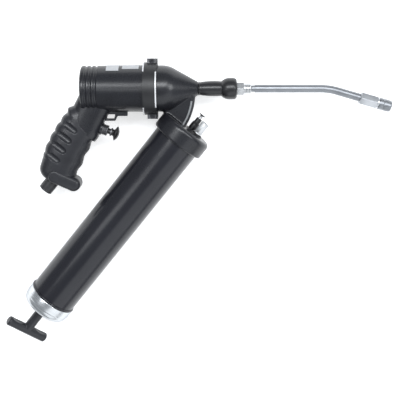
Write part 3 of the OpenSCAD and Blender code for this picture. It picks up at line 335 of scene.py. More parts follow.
pump_place = axis_place(0, 0, 0)
joint_x = -80.3
cylinder_rear = -160.5
cylinder_r = 27.3
cylinder_rear_r = 26.6
rear_round = 2.5
flange_r = 28.6
flange_w = 3.2
flange_front = joint_x - 0.5
bore_r = 23
bore_rear = cylinder_rear + 9
groove_first = 6.2
groove_pitch = 5.8
groove_r = 2
groove_out = cylinder_rear_r + 0.9
groove_half = math.degrees(math.acos((groove_out - cylinder_rear_r) / groove_r))
cylinder = bmesh.new()
outline = [(0, cylinder_rear)]
outline += arc(cylinder_rear_r - rear_round, cylinder_rear + rear_round, rear_round, -90, 0, 6)
for number in range(3):
    groove_at = cylinder_rear + groove_first + groove_pitch * number
    outline += arc(groove_out, groove_at, groove_r, 180 + groove_half, 180 - groove_half, 8)
outline += [
    (cylinder_r, flange_front - flange_w), (flange_r, flange_front - flange_w), (flange_r, flange_front),
    (bore_r, flange_front), (bore_r, bore_rear), (0, bore_rear),
]
spun(cylinder, outline, 128)
softened(cylinder, 0.35)
placed(cylinder, pump_place)

grip_x = joint_x - 59.9
grip_angle = 242
grip_lean = math.radians(grip_angle - 180)
grip_place = axis_place(grip_x, 0, grip_angle)
grip_len = 123
around = 220


def bulge(value):
    """Pushes a circle's sine or cosine out towards a square."""
    return math.copysign(abs(value) ** 0.74, value)


def section(at, slope, rear, front, half, angle):
    """A point of a rounded section in a slanted plane across the grip's axis."""
    forward = (front - rear) / 2 + (front + rear) / 2 * bulge(math.cos(angle))
    return Vector((half * bulge(math.sin(angle)), forward, at + slope * forward))


def even_angles(count):
    """Angles that put points at even steps round a section."""
    fine = [2 * math.pi * number / 4000 for number in range(4001)]
    ring = [section(0, 0, 22, 21, 16, angle) for angle in fine]
    run = [0.0]
    for before, after in zip(ring, ring[1:]):
        run.append(run[-1] + (after - before).length)
    found, step = [], 0
    for number in range(count):
        while run[step] < run[-1] * number / count:
            step += 1
        found.append(fine[step])
    return found


neck_start, neck_len = 12, 38
neck_rear, neck_fore = 17.5, 23.2
neck_half = 15.2


def neck_point(level, angle):
    """A point of the neck, which swells in front to a small toe above the sleeve."""
    at = neck_start + neck_len * level
    slope = 0.2 + 0.36 * level
    toe = 1.6 * math.exp(-(((at + slope * neck_fore - 51) / 6) ** 2))
    return section(at, slope, neck_rear, neck_fore + toe, neck_half + 0.3 * level, angle)


parting_mid, parting_top, parting_r = 9.5, 35, 16
parting_end = (4.56, 50.22)


def parting(forward):
    """The curved line on the grip's side where the neck ends and the sleeve begins."""
    if forward < parting_mid - parting_r:
        return parting_top + (forward - parting_mid + parting_r) * 0.238
    if forward < parting_end[0]:
        return parting_top + math.sqrt(parting_r ** 2 - (forward - parting_mid) ** 2)
    return parting_end[1] + 0.325 * (forward - parting_end[0])


def parting_level(point_at, angle):
    """The level at which a loft meets the parting line."""
    low, high = 0.0, 1.0
    for _ in range(30):
        level = (low + high) / 2
        point = point_at(level, angle)
        if point.z < parting(point.y):
            low = level
        else:
            high = level
    return low


def closed(shape):
    """Fills the open ends of a tube and turns its faces outwards."""
    rims = [edge for edge in shape.edges if edge.is_boundary]
    bmesh.ops.holes_fill(shape, edges=rims, sides=0)
    bmesh.ops.recalc_face_normals(shape, faces=shape.faces)


def wrapped(shape, levels, point_at):
    """A grid rolled into a closed tube: point_at gives a point for each angle's number and level."""
    made = bmesh.ops.create_grid(shape, x_segments=around, y_segments=levels, size=1)["verts"]
    for vert in made:
        column = round((vert.co.x + 1) / 2 * around) % around
        row = round((vert.co.y + 1) / 2 * levels)
        vert.co = point_at(column, row / levels)
    bmesh.ops.remove_doubles(shape, verts=made, dist=1e-5)
    closed(shape)


ring_angles = even_angles(around)
neck_ends = [parting_level(neck_point, angle) for angle in ring_angles]
under_rim = 0.03


def neck_grid(column, row):
    """A point of the neck, which ends a little way under the sleeve's rim."""
    return neck_point(row * (neck_ends[column] + under_rim), ring_angles[column])


neck = bmesh.new()
wrapped(neck, 60, neck_grid)
placed(neck, grip_place)

trigger_down, trigger_out, trigger_angle = 40.5, 24.8, -19
trigger_x = grip_x - trigger_down * math.cos(grip_lean) + trigger_out * math.sin(grip_lean)
trigger_y = -trigger_down * math.sin(grip_lean) - trigger_out * math.cos(grip_lean)
trigger_place = axis_place(trigger_x, trigger_y, trigger_angle)
boss_r, boss_len = 7.5, 12
boss = bmesh.new()
spun(boss, [(0, -boss_len), (boss_r, -boss_len), (boss_r, 0), (0, 0)], 48)
softened(boss, 0.5)
placed(boss, trigger_place)

eye_left = trigger_x + 6.6
eye_right = eye_left + 8.8
eye_wall = 2.6
eye_roof = -cylinder_r - eye_wall
eye_low = eye_roof - 5
eye_slant = 1.3
eye_thick = 7
bar_rear = eye_left - 8
bar_front = eye_right + 14.4
bar_top = 3 - cylinder_r
bar_low = -4.6 - cylinder_r
eye = bmesh.new()
outer = [
    (bar_rear, bar_top), (bar_front, bar_top), (bar_front, bar_low), (eye_right + eye_wall, bar_low),
    (eye_right, eye_low - eye_wall), (bar_rear, eye_low - eye_wall),
]
hole = [
    (eye_left, eye_roof), (eye_right, eye_roof),
    (eye_right - eye_slant, eye_low), (eye_left - eye_slant, eye_low),
]
rims = []
for loop in (outer, hole):
    corners = [eye.verts.new((x, y, -eye_thick / 2)) for x, y in loop]
    rims += [eye.edges.new(pair) for pair in zip(corners, corners[1:] + corners[:1])]
bmesh.ops.triangle_fill(eye, use_beauty=True, use_dissolve=False, edges=rims)
raised = bmesh.ops.extrude_face_region(eye, geom=eye.faces[:])["geom"]
raised_verts = [part for part in raised if isinstance(part, bmesh.types.BMVert)]
bmesh.ops.translate(eye, vec=(0, 0, eye_thick), verts=raised_verts)
bmesh.ops.recalc_face_normals(eye, faces=eye.faces)
softened(eye, 0.6)
side_place = Matrix.Translation(crossing) @ Matrix.Scale(0.001, 4)
placed(eye, side_place)


def united(*shapes):
    """Puts several meshes of one piece together."""
    whole = bmesh.new()
    for shape in shapes:
        carrier = bpy.data.meshes.new("carrier")
        shape.to_mesh(carrier)
        shape.free()
        whole.from_mesh(carrier)
        bpy.data.meshes.remove(carrier)
    return whole


casting = united(cylinder, neck, boss, eye)
finished("air_cylinder_casting", casting, "gun", "cast_black", ["motor_housing"], cast_black)

# Web edge: the pump head's web has a narrow raised edge on each side, cast in one with it.
# The whole bead is coloured a light grey, which draws the pale line along the web's edge.
web_bead_grey = grained("web_bead_grey", (0.19, 0.195, 0.2), (0.27, 0.28, 0.29), 0.3, 0.4, 1400, 60, 0.00003)
web_x, web_y = -96.72, -6
web_edge_r = 65
web_half = 9
bead_r = 1.1
bead_sunk = 0.35
bead_start = Matrix.Rotation(math.radians(-7), 3, "Z")
bead_turn = math.radians(-30)
for side, way in (("near", 1), ("far", -1)):
    bead = bmesh.new()
    ring = bmesh.ops.create_circle(bead, segments=12, radius=bead_r, cap_ends=False)["verts"]
    for vert in ring:
        vert.co = (web_edge_r + vert.co.x, 0, way * (web_half - bead_sunk) + vert.co.y)
    edges = bead.edges[:]
    bmesh.ops.rotate(bead, cent=(0, 0, 0), matrix=bead_start, verts=ring)
    bmesh.ops.spin(
        bead, geom=ring + edges, cent=(0, 0, 0), axis=(0, 0, 1), dvec=(0, 0, 0),
        angle=bead_turn, steps=40,
    )
    closed(bead)
    placed(bead, side_place @ Matrix.Translation((web_x, web_y, 0)))
    finished("web_edge_" + side, bead, "gun", "cast_black", [], web_bead_grey)

# Labels: two thin film labels stuck over the top of the air cylinder, beside the clamp.
# They follow its curve and have a pale matt face.
label_film = grained("label_film", (0.46, 0.47, 0.485), (0.55, 0.56, 0.58), 0.4, 0.5, 600, 40, 0.00001)
film_out = 0.16
film_thick = 0.12


def label(name, start, end, lowest, highest):
    """A thin film on the cylinder, between two places along it and two angles round it."""
    shape = bmesh.new()
    bmesh.ops.create_grid(shape, x_segments=4, y_segments=24, size=1)
    for vert in shape.verts:
        along = start + (end - start) * (vert.co.x + 1) / 2
        angle = math.radians(lowest + (highest - lowest) * (vert.co.y + 1) / 2)
        slant = (along - cylinder_rear) / (joint_x - cylinder_rear)
        radius = cylinder_rear_r + (cylinder_r - cylinder_rear_r) * slant + film_out
        vert.co = (along, radius * math.sin(angle), radius * math.cos(angle))
    bmesh.ops.recalc_face_normals(shape, faces=shape.faces)
    bmesh.ops.solidify(shape, geom=shape.faces[:], thickness=film_thick)
    bmesh.ops.recalc_face_normals(shape, faces=shape.faces)
    placed(shape, side_place)
    finished(name, shape, "gun", "moulding_black", [], label_film)


label("rear_label", -130.5, -116, 52, 106)
label("front_label", -112, -93, 59, 106)

# Clamp: two half bands over both flanges, drawn together by a screw through each pair of ears.
# The black finish has worn off the front rim between the ears and off the rear rim beside them.
# The ears' flat faces are painted a lighter grey, a painted sheen of the light on them.


def all_of(shape):
    """Every vertex, edge and face of a mesh."""
    return shape.verts[:] + shape.edges[:] + shape.faces[:]


band_black = grained(
    "band_black", (0.012, 0.012, 0.014), (0.02, 0.02, 0.022), 0.38, 0.5, 1200, 50, 0.00003
)
band_bare = grained(
    "band_bare", (0.7, 0.7, 0.72), (0.85, 0.85, 0.87), 0.3, 0.4, 900, 80, 0.00001, 0.2
)
screw_black = turned("screw_black", (0.04, 0.04, 0.045), (0.08, 0.08, 0.085), 0.3, 0.4)
# Painted sheen: a lighter grey for the ears' flat faces.
ear_face_sheen = grained("ear_face_sheen", (0.06, 0.06, 0.067), (0.1, 0.1, 0.11), 0.3, 0.4, 900, 120, 0.00002)
band_r = 30.6
band_front = joint_x + 8
band_rear = joint_x - 8
bare_w = 1.5
bare_height = 20
ear_height = 21
for half in ("near", "far"):
    node = "clamp_half_" + half
    band = bmesh.new()
    band.from_mesh(nodes[node].data)
    placed(band, pump_place.inverted())
    bmesh.ops.remove_doubles(band, verts=band.verts, dist=1e-3)
    bmesh.ops.dissolve_limit(
        band, angle_limit=0.02, use_dissolve_boundaries=False, verts=band.verts, edges=band.edges
    )
    softened(band, 0.7)
    for level in (band_front - bare_w, band_rear + bare_w):
        bmesh.ops.bisect_plane(
            band, geom=all_of(band), dist=1e-4, plane_co=(0, 0, level), plane_no=(0, 0, 1)
        )
    for face in band.faces:
        centre = face.calc_center_median()
        radius = math.hypot(centre.x, centre.y)
        front = centre.z > band_front - bare_w and abs(centre.y) < bare_height
        beside_ear = centre.z < band_rear + bare_w and abs(centre.y) > ear_height
        if radius > band_r - 0.8 and (front or beside_ear):
            face.material_index = 1
        # Painted sheen: the ears' flat faces take the lighter grey.
        elif radius > band_r + 0.9 and abs(face.normal.x) > 0.8:
            face.material_index = 2
    placed(band, pump_place)
    finished("clamp_band_" + half, band, "gun", "band_black", [node], band_black, band_bare, ear_face_sheen)
dress(screw_black, "clamp_screws")

# Outlet: a turned steel neck with a ball end, blackened. It screws into the cone's tip and holds
# the check ball and its spring.
outlet_black = grained(
    "outlet_black", (0.012, 0.012, 0.014), (0.019, 0.019, 0.021), 0.26, 0.36, 1400, 60, 0.00002
)
outlet_end = (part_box("outlet_neck")[1].x - crossing.x) * 1000
tip_x = outlet_end - 45.1
spigot_x = (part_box("outlet_neck")[0].x - crossing.x) * 1000
ball_x = outlet_end - 8.8
ball_r = 12.6
waist_len = ball_x - ball_r / 2 - tip_x
ball_start = math.degrees(math.acos(8.4 / ball_r))
ball_face_r = 9.2
waist_r = 9
waist_hollow = 1.4
spring_bore_r = 4.4
thread_r = 4.9
seat_r = 2.1
outlet = bmesh.new()
outline = [(seat_r, spigot_x), (6, spigot_x), (6, tip_x + 0.1), (7.2, tip_x + 0.1)]
outline += arc(7.3, tip_x + 0.9, 0.8, -80, 80, 5)
for step in range(1, 13):
    share = step / 13
    radius = waist_r - waist_hollow * ((share - 0.6) / 0.6) ** 2
    outline.append((radius, tip_x + 1.7 + share * (waist_len - 2)))
outline += arc(0, ball_x, ball_r, -ball_start, 0, 12)
for step in range(1, 13):
    share = math.sin(math.radians(90 * step / 12))
    proud = (ball_r - ball_face_r) * math.sqrt(max(0, 1 - share ** 5))
    outline.append((ball_face_r + proud, ball_x + (outlet_end - ball_x) * share))
outline += [
    (8.4, outlet_end), (thread_r, outlet_end), (thread_r, outlet_end - 13), (spring_bore_r, outlet_end - 13),
    (spring_bore_r, tip_x + 8.6), (seat_r, tip_x + 8.6), (seat_r, spigot_x),
]
spun(outlet, outline)
softened(outlet, 0.4)
placed(outlet, pump_place)
finished("outlet", outlet, "gun", "outlet_black", ["outlet_neck"], outlet_black)
dress(plated_steel, "check_ball")
coil("check_coil", "check_spring")

# Adapter: a bright plated hexagon with a round collar, screwed into the outlet's ball end.
# The pipe's end is held in the collar, which has two fine grooves round it.


def corner_r(flats):
    """The radius of a hexagon's corners."""
    return flats / 2 / math.cos(math.radians(30))


def hexagon(shape, outline, flats):
    """Turns an outline about Z and cuts six flats on it."""
    spun(shape, outline)
    for number in range(6):
        angle = math.radians(30 + 60 * number)
        way = Vector((math.cos(angle), math.sin(angle), 0))
        cut = bmesh.ops.bisect_plane(
            shape, geom=all_of(shape), dist=1e-5,
            plane_co=way * flats / 2, plane_no=way, clear_outer=True,
        )["geom_cut"]
        rim = [part for part in cut if isinstance(part, bmesh.types.BMEdge)]
        bmesh.ops.edgeloop_fill(shape, edges=rim)
    bmesh.ops.recalc_face_normals(shape, faces=shape.faces)


adapter_steel = turned("adapter_steel", (0.52, 0.53, 0.54), (0.63, 0.64, 0.65), 0.34, 0.44)
adapter_flats = 14
hex_r = corner_r(adapter_flats)
adapter = bmesh.new()
hexagon(adapter, [
    (0, outlet_end + 0.1), (hex_r - 0.8, outlet_end + 0.1), (hex_r, outlet_end + 0.5),
    (hex_r, outlet_end + 7.8), (hex_r - 0.8, outlet_end + 8.2), (0, outlet_end + 8.2),
], adapter_flats)
collar_start = outlet_end + 7.7
collar_end = outlet_end + 17
collar_r = 5.9
line_r = 5.3
outline = [(0, collar_start), (collar_r, collar_start)]
for line_at in (outlet_end + 11.2, outlet_end + 14.2):
    outline += [(collar_r, line_at - 0.5), (line_r, line_at - 0.25)]
    outline += [(line_r, line_at + 0.25), (collar_r, line_at + 0.5)]
outline += [(collar_r, collar_end - 1), (collar_r - 1, collar_end), (0, collar_end)]
spun(adapter, outline)
softened(adapter, 0.25)
placed(adapter, pump_place)
finished("adapter", adapter, "gun", "bright_steel", ["pipe_adapter"], adapter_steel)

# Pipe and coupler: a drawn zinc plated pipe, bent towards its end, and a plated coupler screwed on it
# with a hexagon, a thin ring and a nose that holds three sprung jaws and a seal.
pipe_bend = 16
zinc_pipe = turned(
    "zinc_pipe", (0.27, 0.282, 0.302), (0.33, 0.343, 0.364), 0.38, 0.46, 90, 900, 0.000004
)
coupler_steel = turned("coupler_steel", (0.55, 0.565, 0.59), (0.66, 0.675, 0.7), 0.34, 0.44, pipe_bend)
pipe_x = outlet_end + 21.1
straight_len = 87
tail_len = 38.1
coupler_x = pipe_x + straight_len + tail_len * math.cos(math.radians(pipe_bend))
coupler_y = -tail_len * math.sin(math.radians(pipe_bend))
coupler_place = axis_place(coupler_x, coupler_y, -pipe_bend)
dress(zinc_pipe, "delivery_pipe")
coupler_flats = 13.4
hex_r = corner_r(coupler_flats)
hex_len = 21
ring_r = 6.4
ring_end = 23
coupler = bmesh.new()
hexagon(coupler, [
    (0, 0), (hex_r - 1.6, 0), (hex_r, 0.8),
    (hex_r, hex_len - 0.8), (hex_r - 1.6, hex_len), (0, hex_len),
], coupler_flats)
spun(coupler, [(0, hex_len - 0.5), (ring_r, hex_len - 0.5), (ring_r, ring_end), (0, ring_end)])
softened(coupler, 0.25)
placed(coupler, coupler_place)
finished("coupler_hexagon", coupler, "gun", "bright_steel", ["coupler_body"], coupler_steel)
nose_r = 6.9
nose_bore_r = 5.2
nose_start = 23.1
nose_lip = 34.3
nose_end = 38.3
nose = bmesh.new()
outline = [
    (nose_bore_r, nose_start), (nose_r, nose_start), (nose_r, 28), (nose_r - 0.3, 28.3), (nose_r - 0.3, 29),
    (nose_r, 29.3), (nose_r, nose_lip), (6.4, nose_end - 0.9), (5.5, nose_end), (3.5, nose_end),
    (3.5, nose_lip), (nose_bore_r, nose_lip), (nose_bore_r, nose_start),
]
spun(nose, outline)
softened(nose, 0.25)
placed(nose, coupler_place)
finished("coupler_nose_sleeve", nose, "gun", "bright_steel", ["coupler_nose"], zinc_pipe)
dress(plain_steel, "coupler_jaws")
dress(seal_rubber, "coupler_seal")
coil("jaw_coil", "coupler_spring")

# Barrel: a drawn steel tube painted satin black, screwed up against a gasket in the head cap.
# Its lower end is rolled out into a narrow bead.
barrel_black = grained(
    "barrel_black", (0.0115, 0.0118, 0.0165), (0.0165, 0.017, 0.0225), 0.2, 0.25, 500, 14, 0.000004
)
barrel_place = axis_place(0, 0, barrel_angle)
barrel_r = 28.5
tube_r = 27
barrel_top = 65.7
barrel_end = 325.6
roll_r = 1.3
tube = bmesh.new()
outline = [(tube_r, barrel_top), (barrel_r, barrel_top), (barrel_r, barrel_end - 2.7)]
outline += arc(barrel_r + 0.3, barrel_end - roll_r, roll_r, -75, 90, 8)
outline += [(tube_r, barrel_end), (tube_r, barrel_top)]
spun(tube, outline, 144)
placed(tube, barrel_place)
finished("barrel_tube", tube, "gun", "barrel_black", ["barrel"], barrel_black)
dress(seal_rubber, "barrel_gasket")

# Follower: a steel plate with a rubber cup, pushed up the barrel by a long spring.
# The plated rod through the end cap pulls it back.
dress(plain_steel, "follower")
dress(seal_rubber, "follower_seal")
coil("follower_coil", "follower_spring")
dress(zinc_pipe, "follower_rod")

# End cap: pressed from sheet steel and bright plated, with a small step before its rounded shoulder.
# It is pushed into the barrel and guides the rod. The plating is a little darker at a slant.
cap_bright = turned(
    "cap_bright", (0.69, 0.71, 0.73), (0.76, 0.78, 0.8), 0.24, 0.32, -51.3, 1200, 0.000006
)
cap_shader = cap_bright.node_tree.nodes["Principled BSDF"]
cap_shader.inputs["Specular Tint"].default_value = (0.5, 0.52, 0.54, 1)
cap_start = barrel_end + 0.1
cap_end = barrel_end + 20
cap_r = 29.8
cap_wall = 1.6
cap_step = 0.6
plug_r = 26.9
plug_start = cap_start - 10
rod_hole_r = 4.06
guide_r = 8
guide_end = cap_end - 7.6
shoulder = 8
shoulder_r = cap_r - cap_step - shoulder
cap = bmesh.new()
outline = [
    (plug_r, plug_start), (plug_r, cap_start), (cap_r - 0.4, cap_start), (cap_r, cap_start + 0.5),
    (cap_r, cap_end - shoulder - 2), (cap_r - cap_step, cap_end - shoulder - 1),
]
outline += arc(shoulder_r, cap_end - shoulder, shoulder, 0, 84, 14)
outline += [
    (19, cap_end - 0.2), (17.6, cap_end - 0.9), (9, cap_end - 0.9), (7.8, cap_end), (rod_hole_r, cap_end),
    (rod_hole_r, guide_end), (guide_r, guide_end), (guide_r, cap_end - 2.5), (20, cap_end - 2.5),
]
outline += arc(shoulder_r, cap_end - shoulder, shoulder - cap_wall, 84, 0, 10)
outline += [
    (cap_r - cap_wall, cap_start + cap_wall), (plug_r - cap_wall, cap_start + cap_wall),
    (plug_r - cap_wall, plug_start), (plug_r, plug_start),
]
spun(cap, outline, 144)
softened(cap, 0.3)
placed(cap, barrel_place)
finished("pressed_end_cap", cap, "gun", "cap_bright", ["end_cap"], cap_bright)

# T-handle: moulded in black plastic round the end of the rod, with a scooped hollow on each side.
# It turns with the rod in the follower.
moulding_black = grained(
    "moulding_black", (0.015, 0.0153, 0.019), (0.0225, 0.023, 0.028), 0.3, 0.42, 1800, 60, 0.00005
)
moulded("pull_handle", "t_handle", "handle", "moulding_black", moulding_black, voxel=0.0004, rounds=4)

# Bleed valve and filling nipple: two screwed fittings on the head cap's roof. The valve is a black
# stepped body with a sprung stem, and the nipple is a bright hexagon on a rubber washer.
roof = 59.2


def on_cap(forward, side):
    """The place of a fitting on the head cap's roof, with Z standing out of the roof."""
    seat = Matrix.Translation((-side, forward, roof)) @ Matrix.Rotation(math.pi, 4, "X")
    return barrel_place @ seat


valve_black = grained(
    "valve_black", (0.005, 0.005, 0.006), (0.009, 0.009, 0.01), 0.34, 0.46, 1400, 60, 0.00002
)
bleed_place = on_cap(4.7, -6.5)
fill_place = on_cap(12.8, 7.5)
valve_r = 4.7
stem_hole_r = 1.56
coil_bore_r = 2.85
valve = bmesh.new()
spun(valve, [
    (stem_hole_r, -4), (3.4, -4), (3.4, 1.5), (valve_r, 1.5), (valve_r, 9), (4.1, 9.6),
    (valve_r, 10.2), (valve_r, 10.5), (3.6, 11.5), (3.6, 16.6), (3.1, 17.2),
    (coil_bore_r, 17.2), (coil_bore_r, 7.5), (stem_hole_r, 7.5), (stem_hole_r, -4),
], 48)
softened(valve, 0.2)
placed(valve, bleed_place)
finished("bleed_valve", valve, "gun", "bleeder_black", ["bleeder_body"], valve_black)
bleed_head = 21.7
stem = bmesh.new()
spun(stem, [
    (0, 1.5), (1.5, 1.5), (1.5, 13), (2.79, 13), (2.79, 16.7), (1.9, 16.7), (1.9, bleed_head - 0.5),
    (3.2, bleed_head), (4.6, bleed_head + 0.5), (4.3, bleed_head + 1.1), (0, bleed_head + 1.4),
], 48)
softened(stem, 0.15)
for face in stem.faces:
    if face.calc_center_median().z > bleed_head - 0.2:
        face.material_index = 1
placed(stem, bleed_place)
finished("bleed_stem", stem, "bleeder", "plain_steel", ["bleeder_stem"], plain_steel, outlet_black)
coil("bleed_coil", "bleeder_spring")
nipple_flats = 9.2
hex_r = corner_r(nipple_flats)
nipple_base = 2.7
nipple_top = nipple_base + 16
base_r = 5.7
base_top = nipple_base + 1.8
nipple = bmesh.new()
hexagon(nipple, [
    (0, nipple_base), (hex_r, nipple_base),
    (hex_r, nipple_top - 1.2), (hex_r - 1.4, nipple_top), (0, nipple_top),
], nipple_flats)
spun(nipple, [
    (0, nipple_base), (base_r, nipple_base), (base_r, nipple_base + 0.9),
    (base_r - 0.8, base_top), (0, base_top),
], 48)
softened(nipple, 0.2)
placed(nipple, fill_place)
finished("filling_nipple", nipple, "gun", "bright_steel", ["filler_nipple"], plated_steel)
dress(seal_rubber, "filler_washer")

# Trigger: a threaded grey steel bush in the neck, and a black mushroom button that slides in it.
# The button pushes the valve's brass stem against a spring.
bush_grey = turned("bush_grey", (0.15, 0.15, 0.156), (0.22, 0.22, 0.23), 0.42, 0.54, trigger_angle)
button_black = grained(
    "button_black", (0.012, 0.012, 0.013), (0.019, 0.019, 0.021), 0.26, 0.38, 1200, 60, 0.00002
)
valve_brass = turned("valve_brass", (0.52, 0.38, 0.15), (0.64, 0.49, 0.22), 0.24, 0.36, trigger_angle)
bush_r = 6.5
bush_len = 6.5
bush_bore_r = 3.46
thread_pitch = 1.25
thread_depth = 0.6
bush = bmesh.new()
outline = [(bush_bore_r, -boss_len), (5.3, -boss_len), (5.3, 0), (bush_r, 0)]
for turn in range(4):
    start = 0.5 + turn * thread_pitch
    outline += [(bush_r, start), (bush_r - thread_depth, start + 0.5), (bush_r, start + 1)]
outline += [
    (bush_r, bush_len - 0.6), (bush_r - 0.6, bush_len), (bush_bore_r, bush_len), (bush_bore_r, -boss_len),
]
spun(bush, outline)
softened(bush, 0.12)
placed(bush, trigger_place)
finished("trigger_bush", bush, "gun", "bush_grey", ["trigger_bushing"], bush_grey)
button_r = 8.7
button_top = 20.3
ring_low, ring_high = 9.8, 11.4
dome_r = 12.56
dome_half = math.degrees(math.asin(button_r / dome_r))
button = bmesh.new()
outline = [
    (0, -11), (3.4, -11), (3.4, ring_low), (4.9, ring_low), (4.9, ring_high), (3.9, 12), (3.9, 13.2),
    (4.6, 14), (6.1, 14.8), (7.9, 15.5), (button_r, 16.1),
]
outline += arc(0, button_top - dome_r, dome_r, 90 - dome_half, 90, 12)
spun(button, outline)
softened(button, 0.25)
for face in button.faces:
    centre = face.calc_center_median()
    if ring_low - 0.1 < centre.z < ring_high + 0.1 and math.hypot(centre.x, centre.y) > 4.4:
        face.material_index = 1
placed(button, trigger_place)
finished(
    "trigger_mushroom", button, "trigger", "button_black", ["trigger_button"], button_black, bush_grey
)
dress(valve_brass, "valve_stem")
coil("valve_coil", "valve_spring")

# Grip sleeve: a black moulding pushed over the casting's core. It has ribs down its back, four slots
# on each side, finger waves down its front and a strap of fine pimples where the fingers lie.
sleeve_start = 38
sleeve_slope = 0.56
sleeve_mid = 79
sleeve_rear, sleeve_front, sleeve_half = 24.3, 20.9, 17
heel_r = 8.2
heel_level = 1 - heel_r / (grip_len - sleeve_start)
rib_first = 47.8
rib_pitch = 13.6
slot_r = 4.4
slot_depth = 3.2
slot_centre = sleeve_half + slot_r - slot_depth
slot_half = 6.5
slot_lean = math.radians(8.5)
slot_dip = 0.148
slot_back, slot_shift = 8.6, 0.9
strap_edge, strap_top, strap_end = 12.5, 60, 111
pimple = 2.4


def ease(value):
    """A soft step from 0 to 1."""
    held = max(0.0, min(1.0, value))
    return held * held * (3 - 2 * held)


def sleeve_back(down):
    """The back's curve down the grip, with its ribs and the lip at its top."""
    ribs = 1.5 * abs(math.cos(math.pi * (down - rib_first) / rib_pitch)) * ease((102 - down) / 5)
    lip = 1.3 * math.exp(-(((down - 35.5) / 2.6) ** 2))
    return sleeve_rear - 3.5 * ((down - sleeve_mid) / 36) ** 2 + ribs + lip


def sleeve_fore(down):
    """The front's curve down the grip, with its finger waves and the beak at its top."""
    wave = 0.9 * math.cos(2 * math.pi * (down - 69.4) / 20)
    beak = 3.2 * math.exp(-(((down - 54) / 5) ** 2))
    return sleeve_front + 0.025 * (down - sleeve_mid) + wave + beak


def sleeve_point(level, angle):
    """A point of the sleeve's plain form, which draws in round its heel."""
    at = sleeve_start + (grip_len - sleeve_start) * level
    slope = sleeve_slope * (1 - level)
    draw = 1 - math.sqrt(1 - (max(0, level - heel_level) / (1 - heel_level)) ** 2)
    rear = sleeve_back(at - slope * sleeve_rear) - heel_r * draw
    front = sleeve_fore(at + slope * sleeve_front)
    half = sleeve_half - 1.4 * (2 * level - 1) ** 2 - 2.6 * draw
    return section(at, slope, rear, front, half, angle)


def slot_floor(point):
    """How far from the grip's middle plane the side may reach where a slot is cut into it."""
    least = 100.0
    for number in range(4):
        forward = point.y + slot_back + slot_shift * number
        down = point.z - rib_first - rib_pitch * (number + 0.5)
        along = forward * math.cos(slot_lean) + down * math.sin(slot_lean)
        beyond = max(0, abs(along) - slot_half)
        beside = math.hypot(down * math.cos(slot_lean) - forward * math.sin(slot_lean), beyond)
        if beside < slot_r:
            axis = slot_centre + slot_dip * max(-slot_half, min(slot_half, along))
            least = min(least, axis - math.sqrt(slot_r ** 2 - beside ** 2))
    return least


def sleeve_surface(level, angle, run):
    """A point of the sleeve with its slots and the pimples of its front strap."""
    point = sleeve_point(level, angle)
    side = abs(point.x)
    floor_x = slot_floor(point)
    if floor_x < side:
        edge = ease((side - floor_x) / 0.5)
        point.x = math.copysign(side + (floor_x - side) * edge, point.x)
    strap = ease((point.y - strap_edge) / 1.2)
    strap *= ease((point.z - strap_top) / 3) * ease((strap_end - point.z) / 3)
    if strap > 0:
        dots = math.cos(2 * math.pi * run / pimple) * math.cos(2 * math.pi * point.z / pimple)
        swell = strap * (0.55 * max(0, dots) - 0.4)
        point.y += swell * math.cos(angle)
        point.x += swell * math.sin(angle)
    return point


sleeve_rows = 200
heel_rows = 24


def sleeve_level(row):
    """Even levels down the sleeve, and closer ones round its heel."""
    step = row * sleeve_rows
    if step <= sleeve_rows - heel_rows:
        return heel_level * step / (sleeve_rows - heel_rows)
    turn = (step - sleeve_rows + heel_rows) / heel_rows
    return heel_level + (1 - heel_level) * math.sin(math.pi / 2 * turn)


sleeve_tops = [parting_level(sleeve_point, angle) for angle in ring_angles]
ring_run = 120
rim_rows = 4
rim_r = 0.9


def sleeve_grid(column, row):
    """A point of the sleeve. Its first rows turn in over a rounded rim to the neck."""
    top = sleeve_tops[column]
    angle = ring_angles[column]
    step = max(0.0, (row * (sleeve_rows + rim_rows) - rim_rows) / sleeve_rows)
    point = sleeve_surface(top + (1 - top) * sleeve_level(step), angle, ring_run * column / around)
    short = rim_rows - row * (sleeve_rows + rim_rows)
    if short > 0.5:
        turn = math.radians(min(90, 30 * short))
        inward = rim_r * (1 - math.cos(turn)) + max(0, short - 3) * 2
        point.x -= inward * math.sin(angle)
        point.y -= inward * math.cos(angle)
        point.z -= rim_r * math.sin(turn)
    return point


sleeve = bmesh.new()
wrapped(sleeve, sleeve_rows + rim_rows, sleeve_grid)
placed(sleeve, grip_place)
finished("grip_cover", sleeve, "gun", "moulding_black", ["grip_sleeve"], moulding_black)

# Foot: a moulded pad with a round toe that closes the sleeve. The dark steel inlet bush is screwed
# through it into the casting's core and has an inside pipe thread.
moulded(
    "grip_foot", "grip_base", "gun", "moulding_black", moulding_black, voxel=0.0004, rounds=3, wider=1.09
)
bush_dark = grained(
    "bush_dark", (0.022, 0.022, 0.024), (0.034, 0.034, 0.037), 0.36, 0.48, 1200, 60, 0.00003
)
inlet_angle = 50
foot_x = grip_x - grip_len * math.cos(grip_lean)
foot_y = -grip_len * math.sin(grip_lean)
inlet_start, inlet_mouth = -27, 15.6
inlet_r = 8.3
inlet_bore_r = 4
pipe_thread_r = 5.72
pipe_thread_pitch = 1.3
inlet = bmesh.new()
outline = [
    (inlet_bore_r, inlet_start), (6.5, inlet_start), (6.5, -2.1), (inlet_r, -2.1),
    (inlet_r, inlet_mouth - 2.8), (8, inlet_mouth - 2.5), (8, inlet_mouth - 2.1),
    (inlet_r, inlet_mouth - 1.8), (inlet_r, inlet_mouth - 0.6), (7.7, inlet_mouth),
    (6.3, inlet_mouth), (pipe_thread_r, inlet_mouth - 0.8),
]
for turn in range(8):
    start = inlet_mouth - 1.2 - turn * pipe_thread_pitch
    outline += [(6.1, start - 0.4), (pipe_thread_r, start - 0.9)]
outline += [(pipe_thread_r, 3.6), (inlet_bore_r, 3.6), (inlet_bore_r, inlet_start)]
spun(inlet, outline)
softened(inlet, 0.15)
placed(inlet, axis_place(foot_x, foot_y, 180 + inlet_angle))
finished("inlet_bush", inlet, "gun", "bush_dark", ["air_inlet"], bush_dark)

